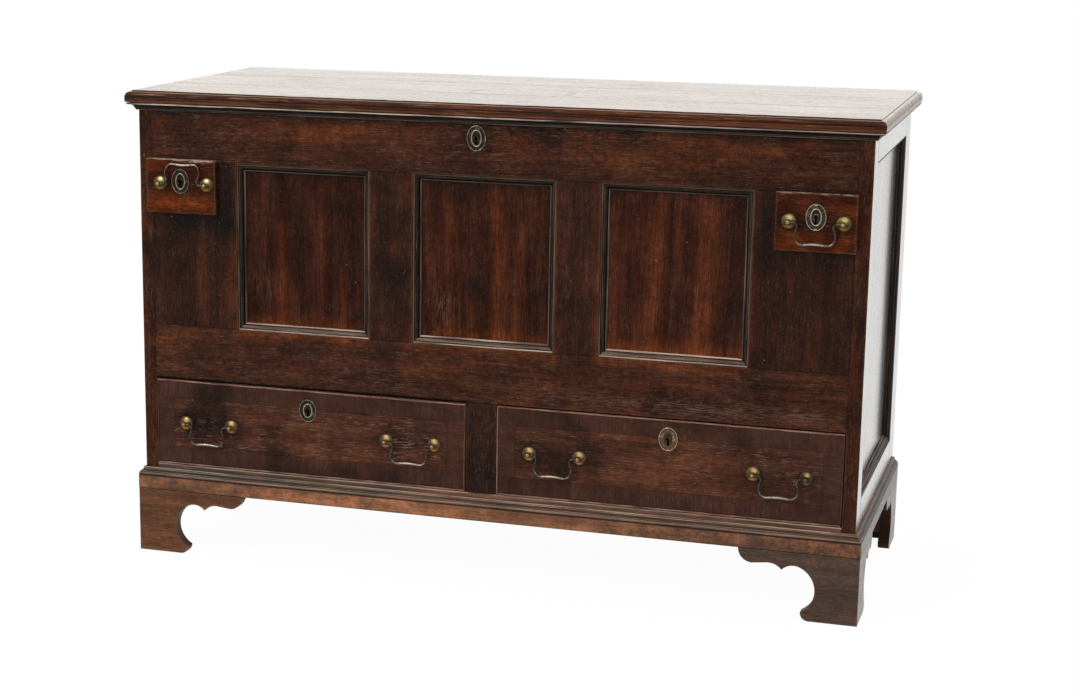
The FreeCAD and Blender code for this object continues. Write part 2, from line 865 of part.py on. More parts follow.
# stiles and muntins stand between the lower rail and the top rail
uprights = []
upright_tenons = []
upright_holes = [left_stile_holes, [], [], right_stile_holes]
for (left, right), holes in zip(upright_spans, upright_holes):
    board, tenon = upright(left, right, panel_base, panel_top)
    uprights.append(cut(board, panel_boards + holes))
    upright_tenons.append(tenon)
node("front_stiles", [uprights[0], uprights[3]])
node("front_muntins", [uprights[1], uprights[2]])

drawer_muntin, drawer_muntin_tenon = upright(muntin_left, muntin_right, drawer_base, drawer_top)
node("drawer_muntin", drawer_muntin)


def rail(near, far, low, high, tenon_y):
    # A rail between the two ends, with its tenons.
    tenons = [tenonBox(side, tenon_y, low, high) for side in (-1, 1)]
    return fuse([box(-inner_half, inner_half, near, far, low, high)] + tenons)


# ---------------------------------------------------------------- lid lock

lid_lock_x = -d["lid_lock_offset"]
lid_lock_z = carcass_top - d["lid_lock_drop"]
lid_lock_face = frame_back - d["lid_lock_depth"]
lid_lock_middle = frame_back - d["lid_lock_depth"] / 2
lid_lock_block = box(
    lid_lock_x - d["lid_lock_width"] / 2, lid_lock_x + d["lid_lock_width"] / 2,
    lid_lock_face, frame_back, carcass_top - d["lid_lock_height"], carcass_top,
)

# The staple hangs from the lid into the lock, and the bolt slides through its eye.
staple_half = d["staple_thickness"] / 2
bolt_half = d["lid_bolt_section"] / 2
bolt_end = lid_lock_x - staple_half * 3
bolt_start = bolt_end - d["lid_bolt_length"]
bolt_base = carcass_top - d["staple_drop"] + bolt_half + room
bolt_top = bolt_base + d["lid_bolt_section"]
node(
    "lid_lock_bolt",
    box(bolt_start, bolt_end, lid_lock_middle - bolt_half, lid_lock_middle + bolt_half, bolt_base, bolt_top),
)
bolt_channel = box(
    bolt_start - room, bolt_end + d["lid_bolt_throw"] + room,
    lid_lock_middle - bolt_half - room, lid_lock_middle + bolt_half + room,
    bolt_base - room, bolt_top + room,
)
# The staple swings a little as the lid lifts, so its slot is roomier than the bolt's channel.
staple_room = d["staple_room"]
staple_slot = box(
    lid_lock_x - staple_half - staple_room, lid_lock_x + staple_half + staple_room,
    lid_lock_middle - d["staple_width"] / 2 - room, lid_lock_middle + d["staple_width"] / 2 + room,
    carcass_top - d["staple_drop"] - staple_room, carcass_top,
)
lid_keyhole = keyhole(lid_lock_x, lid_lock_z, front, lid_lock_face - front)
node("lid_lock_case", cut(lid_lock_block, [bolt_channel, staple_slot]))
top_rail = rail(front, frame_back, panel_top, carcass_top, panel_face)
node("front_top_rail", cut(top_rail, panel_boards + upright_tenons + [lid_lock_block, lid_keyhole]))

# ---------------------------------------------------------------- lower and bottom rails

# Each drawer: its word and its opening.
drawers = [("left", -inner_half, muntin_left), ("right", muntin_right, inner_half)]
lock_places = {word: (left + right) / 2 + d[f"{word}_drawer_lock_shift"] for word, left, right in drawers}
gap = d["drawer_gap"]
drawer_rear_face = front + d["drawer_front_thickness"]
drawer_lock_face = drawer_rear_face - d["drawer_lock_depth"]
drawer_lock_middle = drawer_rear_face - d["drawer_lock_depth"] / 2
drawer_bolt_half = d["drawer_bolt_thickness"] / 2

well_floor_space = box(
    -inner_half, inner_half, frame_back - d["floor_housing"], board_face, floor_base, floor_top, "Housing"
)
bolt_mortises = []
for middle in lock_places.values():
    bolt_mortises.append(
        box(
            middle - d["drawer_bolt_width"] / 2 - gap, middle + d["drawer_bolt_width"] / 2 + gap,
            drawer_lock_middle - drawer_bolt_half - gap / 2, drawer_lock_middle + drawer_bolt_half + gap / 2,
            drawer_top, drawer_top + d["drawer_bolt_throw"] + gap / 2, "Mortise",
        )
    )
lower_rail = rail(front, frame_back, drawer_top, panel_base, panel_face)
node(
    "front_lower_rail",
    cut(lower_rail, panel_boards + upright_tenons + [drawer_muntin_tenon, well_floor_space] + bolt_mortises),
)
bottom_rail = rail(front, frame_back, band_base, drawer_base, panel_face)
node("front_bottom_rail", cut(bottom_rail, [drawer_muntin_tenon]))

# ---------------------------------------------------------------- back and floor of the well

hinge_places = [-d["hinge_from_centre"], sized(0) + d["hinge_from_centre"]]
hinge_half = d["hinge_width"] / 2
leaf = d["leaf_thickness"]
leaf_front = back - d["leaf_depth"]
frame_recesses = [
    box(x - hinge_half, x + hinge_half, leaf_front, back, carcass_top - leaf, carcass_top, "Recess")
    for x in hinge_places
]
(low_base, low_top), (high_base, high_top) = backRails()
low_back_rail = rail(back_rail_face, back, low_base, low_top, back_tenon_y)
high_back_rail = rail(back_rail_face, back, high_base, high_top, back_tenon_y)
node("back_rails", [low_back_rail, cut(high_back_rail, frame_recesses)])

board_count = DRIVING["back_board_count"]
board_step = (high_base - low_top) / board_count
back_boards = []
for index in range(board_count):
    low = low_top + board_step * index
    back_boards.append(box(-inner_half, inner_half, board_face, back, low, low + board_step))
node("back_boards", back_boards)

floor_count = DRIVING["floor_board_count"]
floor_start = frame_back - d["floor_housing"]
floor_step = (board_face - floor_start) / floor_count
floor_boards = []
for index in range(floor_count):
    near = floor_start + floor_step * index
    floor_boards.append(box(-inner_half, inner_half, near, near + floor_step, floor_base, floor_top))
node("well_floor", floor_boards)

# ---------------------------------------------------------------- what carries the drawers

partition_left = muntin_centre - d["partition_thickness"] / 2
partition_right = muntin_centre + d["partition_thickness"] / 2
runner_base = drawer_base - d["runner_height"]
node(
    "drawer_partition",
    fuse([
        box(partition_left, partition_right, frame_back, back_rail_face, runner_base, floor_base),
        box(partition_left, partition_right, back_rail_face, board_face, drawer_base, floor_base),
    ]),
)

runner_spans = [
    (-inner_half, d["runner_width"] - inner_half),
    (partition_left - d["runner_width"], partition_left),
    (partition_right, partition_right + d["runner_width"]),
    (inner_half - d["runner_width"], inner_half),
]
stop_front = board_face - d["stop_length"]
runners = []
stops = []
for left, right in runner_spans:
    runners.append(box(left, right, frame_back, back_rail_face, runner_base, drawer_base))
    stops.append(box(left, right, stop_front, board_face, drawer_base, drawer_base + d["stop_height"]))
node("drawer_runners", runners)
guides = []
for left, right in ((muntin_left, partition_left), (partition_right, muntin_right)):
    guides.append(box(left, right, frame_back, stop_front, drawer_base, drawer_base + d["guide_height"]))
node("drawer_guides_and_stops", guides + stops)

# ---------------------------------------------------------------- base, feet and planted mouldings

band_section = [
    (0, 0),
    (float(d["band_proud"]), 0),
    (float(d["band_proud"]), float(d["band_height"])),
    (0, float(d["band_height"])),
]
node("plinth_band", returnedRun(band_section, band_base, back))
node("base_moulding", returnedRun(baseMouldingSection(), band_top, back))
lid_moulding_base = carcass_top - d["lid_moulding_gap"] - d["lid_moulding_height"]
node("lid_moulding", returnedRun(lidMouldingSection(), lid_moulding_base, back))

foot_outer = half_width + d["band_proud"]
foot_front = front - d["band_proud"]


def bracket(corner, along, inwards, length, mitred, name="Bracket"):
    # One board of a foot, its outline in the plane of its face. At the corner it is mitred.
    thickness = float(d["foot_thickness"])
    board = outlineFace(bracketOutline(length), along, Z_AXIS).extrude(inwards * thickness)
    if mitred:
        height = float(d["foot_height"])
        waste = outlineFace([(0, 0), (thickness, thickness), (-1, thickness), (-1, 0)], along, inwards)
        board = board.cut(waste.translated(Z_AXIS * -1).extrude(Z_AXIS * (height + 2)))
    return feature(board, corner, name)


front_feet = []
rear_feet = []
glue_blocks = []
inset = d["foot_thickness"]
for side in (-1, 1):
    towards_middle = X_AXIS * -side
    outer_x = side * float(foot_outer)
    front_corner = vector(outer_x, foot_front, 0)
    back_corner = vector(outer_x, back, 0)
    front_feet.append(bracket(front_corner, towards_middle, Y_AXIS, d["front_bracket_length"], True))
    front_feet.append(bracket(front_corner, Y_AXIS, towards_middle, d["side_bracket_length"], True))
    rear_feet.append(bracket(back_corner, Y_AXIS * -1, towards_middle, d["side_bracket_length"], False))
    plate_corner = vector(side * float(foot_outer - inset), back, 0)
    rear_feet.append(bracket(plate_corner, towards_middle, Y_AXIS * -1, d["back_plate_length"], False))

    x0, x1 = mirrored(side, foot_outer - inset - d["glue_block"], foot_outer - inset)
    near = foot_front + inset
    far = back - inset
    for y0 in (near, far - d["glue_block"]):
        glue_blocks.append(box(x0, x1, y0, y0 + d["glue_block"], d["glue_block_lift"], band_base))
node("front_feet", front_feet)
node("rear_feet", rear_feet)
node("foot_glue_blocks", glue_blocks)

# ---------------------------------------------------------------- lid

lid_half = half_width + d["lid_overhang"]
lid_front = front - d["lid_overhang"]
lid_back = back + d["lid_back_overhang"]
first_joint = lid_front + d["lid_front_board_width"]
second_joint = first_joint + d["lid_middle_board_width"]
edge_section = lidEdgeCutter()
lid_width = 2 * float(lid_half)
lid_depth = float(lid_back) - float(lid_front)
front_edge = vector(lid_half, lid_front, lid_top)
left_edge = vector(-lid_half, lid_front, lid_top)
right_edge = vector(lid_half, lid_back, lid_top)
front_cutter = mouldedRun(edge_section, front_edge, X_AXIS * -1, Y_AXIS * -1, Z_AXIS, lid_width)
left_cutter = mouldedRun(edge_section, left_edge, Y_AXIS, X_AXIS * -1, Z_AXIS, lid_depth)
right_cutter = mouldedRun(edge_section, right_edge, Y_AXIS * -1, X_AXIS, Z_AXIS, lid_depth)

catch_left = lid_lock_x - d["catch_width"] / 2
catch_near = lid_lock_middle - d["catch_depth"] / 2
catch_plate = box(
    catch_left, catch_left + d["catch_width"], catch_near, catch_near + d["catch_depth"],
    carcass_top, carcass_top + leaf,
)
lid_recesses = [
    box(x - hinge_half, x + hinge_half, leaf_front, lid_back, carcass_top, carcass_top + leaf, "Recess")
    for x in hinge_places
]


def lidBoard(near, far, tools):
    board = box(-lid_half, lid_half, near, far, carcass_top, lid_top)
    return cut(board, [left_cutter, right_cutter] + tools)


node(
    "lid_boards",
    [
        lidBoard(lid_front, first_joint, [front_cutter, catch_plate]),
        lidBoard(first_joint, second_joint, []),
        lidBoard(second_joint, lid_back, lid_recesses),
    ],
)

batten_near = (lid_front + lid_back) / 2 - d["batten_length"] / 2
batten_far = batten_near + d["batten_length"]
battens = []
for side in (-1, 1):
    x0, x1 = mirrored(side, d["batten_from_centre"] - d["batten_width"] / 2,
                      d["batten_from_centre"] + d["batten_width"] / 2)
    battens.append(box(x0, x1, batten_near, batten_far, carcass_top - d["batten_thickness"], carcass_top))
node("lid_battens", battens)

# the catch: a plate let into the lid with a staple that hangs into the lock
staple = box(
    lid_lock_x - staple_half, lid_lock_x + staple_half,
    lid_lock_middle - d["staple_width"] / 2, lid_lock_middle + d["staple_width"] / 2,
    carcass_top - d["staple_drop"], carcass_top,
)
staple_eye = box(
    lid_lock_x - staple_half, lid_lock_x + staple_half,
    lid_lock_middle - bolt_half - room, lid_lock_middle + bolt_half + room,
    bolt_base - room, bolt_top + room, "Eye",
)
node("lid_lock_catch", fuse([catch_plate, cut(staple, [staple_eye])]))

# ---------------------------------------------------------------- hinges

def knuckle(x, length):
    # One knuckle, bored for the pin, with a clearance either side.
    return rod(x, hinge_y, carcass_top, d["knuckle_radius"], length, X_AXIS, "Knuckle")


frame_leaves = []
lid_leaves = []
third = d["hinge_width"] / 3
for x in hinge_places:
    left = x - hinge_half
    bore_radius = d["hinge_pin_radius"] + d["hinge_clearance"]
    bore = rod(left, hinge_y, carcass_top, bore_radius, d["hinge_width"], X_AXIS, "Bore")
    lower = [
        box(left, left + d["hinge_width"], leaf_front, lid_back, carcass_top - leaf, carcass_top),
        box(left, left + third, lid_back, hinge_y, carcass_top - leaf, carcass_top),
        box(left + third * 2, left + third * 3, lid_back, hinge_y, carcass_top - leaf, carcass_top),
        knuckle(left, third),
        knuckle(left + third * 2, third),
    ]
    upper = [
        box(left, left + d["hinge_width"], leaf_front, lid_back, carcass_top, carcass_top + leaf),
        box(left + third + room, left + third * 2 - room, lid_back, hinge_y, carcass_top, carcass_top + leaf),
        knuckle(left + third + room, third - room * 2),
    ]
    frame_leaves.append(cut(fuse(lower), [bore]))
    frame_leaves.append(
        rod(left, hinge_y, carcass_top, d["hinge_pin_radius"], d["hinge_width"], X_AXIS, "HingePin")
    )
    lid_leaves.append(cut(fuse(upper), [bore]))
node("hinge_frame_leaves_and_pins", frame_leaves)
node("hinge_lid_leaves", lid_leaves)

# ---------------------------------------------------------------- drawers

def dovetails(x0, x1, low, high):
    # Tails on a side's front end, wider towards the drawer's face, let into the front from behind.
    count = DRIVING["dovetail_count"]
    pitch = (float(high) - float(low)) / count
    wide = float(d["dovetail_width"]) / 2
    narrow = wide - float(d["dovetail_flare"])
    reach = float(d["drawer_front_thickness"] - d["cockbead_depth"])
    tails = []
    for index in range(count):
        outline = [(0, -wide), (reach, -narrow), (reach, narrow), (0, wide)]
        tail = outlineFace(outline, Y_AXIS, Z_AXIS).extrude(X_AXIS * (float(x1) - float(x0)))
        corner = vector(x0, front + d["cockbead_depth"], float(low) + pitch * (index + 0.5))
        tails.append(feature(tail, corner, "Dovetail"))
    return tails


def buildDrawer(word, left, right, pulls):
    x0 = left + gap
    x1 = right - gap
    z0 = drawer_base + gap
    z1 = drawer_top - gap
    side_thickness = d["drawer_side_thickness"]
    side_top = z1 - d["drawer_side_drop"]
    rear = stop_front - room
    lock_x = lock_places[word]
    lock_z = drawer_base + d[f"{word}_drawer_lock_height"]
    pull_z = drawer_base + d["drawer_pull_height"]

    bead_corner = vector(x0, front, z0)
    beads = mitredFrame(cockbeadSection(), bead_corner, X_AXIS, Z_AXIS, x1 - x0, z1 - z0, "Cockbead")
    node(f"{word}_drawer_cockbead", beads)

    bottom_base = z0 + d["drawer_bottom_rise"]
    bottom_top = bottom_base + d["drawer_bottom_thickness"]
    inner0 = x0 + side_thickness
    inner1 = x1 - side_thickness
    groove = d["drawer_groove"]
    bottom = box(inner0 - groove, inner1 + groove, drawer_rear_face - groove, rear, bottom_base, bottom_top)
    node(f"{word}_drawer_bottom", bottom)

    tails = []
    pieces = []
    for side_x0, side_x1 in ((x0, inner0), (inner1, x1)):
        side_tails = dovetails(side_x0, side_x1, z0, side_top)
        board = box(side_x0, side_x1, drawer_rear_face, rear, z0, side_top)
        pieces.append(cut(fuse([board] + side_tails), [bottom]))
        tails += side_tails
    back_near = rear - d["drawer_back_thickness"]
    pieces.append(box(inner0, inner1, back_near, rear, bottom_top, side_top))
    node(f"{word}_drawer_sides_and_back", pieces)

    lock_block = box(
        lock_x - d["drawer_lock_width"] / 2, lock_x + d["drawer_lock_width"] / 2,
        drawer_lock_face, drawer_rear_face, z1 - d["drawer_lock_case_height"], z1,
    )
    bolt_x0 = lock_x - d["drawer_bolt_width"] / 2
    bolt_x1 = lock_x + d["drawer_bolt_width"] / 2
    bolt_y0 = drawer_lock_middle - drawer_bolt_half
    bolt_y1 = drawer_lock_middle + drawer_bolt_half
    bolt_z0 = z1 - room - d["drawer_bolt_height"]
    node(f"{word}_drawer_lock_bolt", box(bolt_x0, bolt_x1, bolt_y0, bolt_y1, bolt_z0, z1 - room))
    channel = box(bolt_x0 - room, bolt_x1 + room, bolt_y0 - room, bolt_y1 + room, bolt_z0 - room, z1)
    node(f"{word}_drawer_lock_case", cut(lock_block, [channel]))

    board = box(x0, x1, front, drawer_rear_face, z0, z1)
    holes = []
    posts = []
    for pull_x in pulls:
        holes += postHoles(pull_x, pull_z, front, d["drawer_front_thickness"])
        posts += pullPosts(pull_x, pull_z, front, d["drawer_front_thickness"])
    opening = keyhole(lock_x, lock_z, front, drawer_lock_face - front)
    node(f"{word}_drawer_front", cut(board, beads + tails + [bottom, lock_block, opening] + holes))
    node(f"{word}_drawer_pull_posts", posts)
    plate = escutcheon(lock_x, lock_z, front, d["drawer_escutcheon_width"], d["drawer_escutcheon_height"])
    node(f"{word}_drawer_escutcheon", plate)
    for place, pull_x in zip(("left", "right"), pulls):
        bail(f"{word}_drawer_{place}_bail", pull_x, pull_z, front, hanging)


drawer_pulls = {
    "left": (d["left_drawer_outer_pull_inset"] - inner_half, sized(0) - d["left_drawer_inner_pull"]),
    "right": (sized(0) + d["right_drawer_inner_pull"], inner_half - d["right_drawer_outer_pull_inset"]),
}
for word, left, right in drawers:
    buildDrawer(word, left, right, drawer_pulls[word])

# ---------------------------------------------------------------- escutcheons on the carcass

plate_size = (d["escutcheon_width"], d["escutcheon_height"])
dummy_key_rise = half_dummy_height + d["dummy_escutcheon_rise"]
node(
    "chest_escutcheons",
    [
        escutcheon(lid_lock_x, lid_lock_z, front, *plate_size),
        escutcheon(left_dummy_x + half_dummy_width, left_dummy_z + dummy_key_rise, dummy_face, *plate_size),
        escutcheon(right_dummy_x + half_dummy_width, right_dummy_z + dummy_key_rise, dummy_face, *plate_size),
    ],
)

# ---------------------------------------------------------------- check and write

doc.recompute()
for thing in doc.Objects:
    if "Invalid" in thing.State or "Error" in thing.State:
        raise RuntimeError(f"{thing.Name} ({thing.Label}) did not build: {thing.State}")
for label, thing in nodes.items():
    if thing.Shape.isNull() or not thing.Shape.isValid():
        raise RuntimeError(f"{label} has no sound shape")

os.makedirs("parts", exist_ok=True)
for label, thing in nodes.items():
    thing.Shape.exportStep(f"parts/{label}.step")
print(len(nodes), "nodes", sum(len(thing.Shape.Solids) for thing in nodes.values()), "solids")
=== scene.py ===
import math
import random
from functools import reduce
from types import SimpleNamespace

import bmesh
import bpy
from mathutils import Matrix, Vector, geometry, noise


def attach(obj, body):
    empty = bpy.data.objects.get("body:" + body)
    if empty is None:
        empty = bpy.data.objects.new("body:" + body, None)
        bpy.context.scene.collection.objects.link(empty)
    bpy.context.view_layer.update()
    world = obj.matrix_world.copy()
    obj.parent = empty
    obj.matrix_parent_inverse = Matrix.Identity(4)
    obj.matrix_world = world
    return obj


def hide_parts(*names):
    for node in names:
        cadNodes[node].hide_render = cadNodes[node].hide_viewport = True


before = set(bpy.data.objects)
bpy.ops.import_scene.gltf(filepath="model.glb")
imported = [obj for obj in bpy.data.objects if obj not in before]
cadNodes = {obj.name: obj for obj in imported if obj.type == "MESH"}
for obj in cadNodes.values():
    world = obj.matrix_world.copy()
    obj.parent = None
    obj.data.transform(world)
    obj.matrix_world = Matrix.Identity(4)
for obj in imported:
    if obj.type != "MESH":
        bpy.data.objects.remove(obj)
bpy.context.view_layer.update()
mm = 0.001
print("frame loaded,", len(cadNodes), "nodes")

# Sizes below are in millimetres, in the same places as the solids of the part.
xAxis, yAxis, zAxis = Vector((1, 0, 0)), Vector((0, 1, 0)), Vector((0, 0, 1))

cameraView = {
    "place": (1.0117, -3.61845, 1.1594),
    "lens": 71.93,
    "yaw": 17.901,
    "pitch": 12.451,
    "roll": 0.467,
    "shift": (0.0913, 0.0146),
}


def addObject(name, data):
    made = bpy.data.objects.new(name, data)
    bpy.context.scene.collection.objects.link(made)
    return made


def placeCamera(view):
    yaw, pitch, roll = (math.radians(view[key]) for key in ("yaw", "pitch", "roll"))
    ahead = Vector((-math.sin(yaw) * math.cos(pitch), math.cos(yaw) * math.cos(pitch), -math.sin(pitch)))
    right = Vector((math.cos(yaw), math.sin(yaw), 0))
    up = right.cross(ahead)
    data = bpy.data.cameras.new("camera")
    data.sensor_fit = "HORIZONTAL"
    data.sensor_width = 36
    data.lens = view["lens"]
    data.shift_x, data.shift_y = view["shift"]
    rows = (
        right * math.cos(roll) + up * math.sin(roll),
        up * math.cos(roll) - right * math.sin(roll),
        -ahead,
    )
    camera = addObject("camera", data)
    camera.matrix_world = Matrix.Translation(view["place"]) @ Matrix(rows).transposed().to_4x4()
    bpy.context.scene.camera = camera


placeCamera(cameraView)
print("camera placed")


class Graph:
    # The nodes of a material or of the world, made from the textures on towards the shader.
    def __init__(self, owner):
        owner.use_nodes = True
        self.tree = owner.node_tree
        self.tree.nodes.clear()

    def add(self, kind, sockets=None, **settings):
        made = self.tree.nodes.new("ShaderNode" + kind)
        for key, value in settings.items():
            setattr(made, key, value)
        for key, value in (sockets or {}).items():
            if isinstance(value, bpy.types.NodeSocket):
                self.tree.links.new(value, made.inputs[key])
            else:
                made.inputs[key].default_value = value
        return made

    def maths(self, operation, first, second=0.0):
        return self.add("Math", {0: first, 1: second}, operation=operation).outputs[0]

    def plus(self, *terms):
        return reduce(lambda total, term: self.maths("ADD", total, term), terms)

    def minus(self, first, second):
        return self.maths("SUBTRACT", first, second)

    def times(self, *factors):
        return reduce(lambda product, factor: self.maths("MULTIPLY", product, factor), factors)

    def clamped(self, value):
        return self.add("Clamp", {0: value}).outputs[0]

    def attribute(self, name, output="Vector"):
        return self.add("Attribute", attribute_name=name).outputs[output]

    def parts(self, vector):
        return self.add("SeparateXYZ", {0: vector}).outputs

    def scaled(self, vector, amounts):
        return self.add("VectorMath", {0: vector, 1: amounts}, operation="MULTIPLY").outputs[0]

    def placeInMm(self):
        return self.scaled(self.add("TexCoord").outputs["Object"], (1000, 1000, 1000))

    def cloud(self, vector, scales, detail, roughness):
        place = self.scaled(vector, scales)
        sockets = {"Vector": place, "Scale": 1.0, "Detail": detail, "Roughness": roughness}
        return self.add("TexNoise", sockets).outputs["Fac"]

    def between(self, value, low, high, to=(0.0, 1.0)):
        sockets = {"Value": value, "From Min": low, "From Max": high, "To Min": to[0], "To Max": to[1]}
        return self.add("MapRange", sockets, interpolation_type="SMOOTHSTEP").outputs[0]

    def blend(self, amount, first, second, mode="MIX"):
        # Sockets 6 and 7 of a mix node are its two colours.
        sockets = {0: amount}
        for key, colour in ((6, first), (7, second)):
            sockets[key] = colour if isinstance(colour, bpy.types.NodeSocket) else (*colour, 1)
        return self.add("Mix", sockets, data_type="RGBA", blend_type=mode).outputs[2]

    def finish(self, colour, roughness, height, bump, more):
        # bump is the relief's strength and its depth in metres; more sets other sockets of the shader.
        normal = self.add("Bump", {"Height": height, "Strength": bump[0], "Distance": bump[1]}).outputs[0]
        sockets = {"Base Color": colour, "Roughness": roughness, "Normal": normal, **more}
        if "Coat Weight" in more:
            sockets["Coat Normal"] = normal
        shader = self.add("BsdfPrincipled", sockets)
        self.add("OutputMaterial", {0: shader.outputs[0]})


# What an oak finish starts from. Colours are linear; the other oaks change some of these.
oakLook = {
    "dark": (0.0150, 0.0062, 0.0040),
    "middle": (0.0460, 0.0160, 0.0085),
    "warm": (0.1500, 0.0370, 0.0095),
    "shade": (0.0100, 0.0062, 0.0050),
    "pale": (0.1700, 0.1150, 0.0850),
    "pore": (0.0065, 0.0042, 0.0034),
    "dash": (0.1700, 0.1000, 0.0700),
    "dirtAndShade": (0.0075, 0.0072, 0.0062),
    "worn": (0.1700, 0.0620, 0.0280),
    "nick": (0.4200, 0.2850, 0.1950),
    "raw": (0.2000, 0.1250, 0.0660),
    "warmShare": 0.45,
    "shadeShare": 0.55,
    "dashShare": 0.50,
    "speckShare": 0.45,
    "nickShare": 0.42,
    "wearShare": 0.75,
    "dirtShare": 0.90,
    "roughness": (0.34, 0.52),
    "specular": 0.06,
    "coat": 0.0,
    "coatRoughness": 0.28,
    "coatIndex": 1.5,
    "patchy": 0.20,
    "drawnOut": False,
    "oval": None,
    "bump": 0.45,
    "contrast": (0.36, 0.66),
    "poreShare": 0.30,
    "streakSpan": (0.80, 1.26),
    "mottleSpan": (0.82, 1.22),
}


# The wood's noises: what each follows, its scale along and across it (per mm), detail and roughness.
oakNoises = {
    "wander": ("grain", 0.0035, 0.016, 2.0, 0.50),
    "fleck": ("grain", 0.028, 0.42, 4.0, 0.72),
    "pores": ("grain", 0.042, 0.80, 2.0, 0.55),
    "fine": ("grain", 0.10, 1.6, 2.0, 0.60),
    "dashes": ("grain", 0.062, 0.66, 2.0, 0.55),
    "streaks": ("grain", 0.0045, 0.036, 3.0, 0.60),
    "rub": ("grain", 0.028, 0.50, 4.0, 0.72),
    "blotches": ("place", 0.021, 0.021, 3.0, 0.62),
    "clumps": ("place", 0.0085, 0.0085, 2.0, 0.60),
    "mottle": ("place", 0.11, 0.11, 5.0, 0.74),
    "specks": ("place", 0.42, 0.42, 1.0, 0.50),
}
# Straight-grained stuff is picked for mouldings: its grain is drawn out, and so is its mottle.
drawnOutGrain = (0.30, 1.0, 1.0)
drawnOutMottle = ("grain", 0.040, 0.16, 5.0, 0.70)
# Where the solids of the part lie in their log.
solidsInLog = (310.0, 140.0, 45.0)


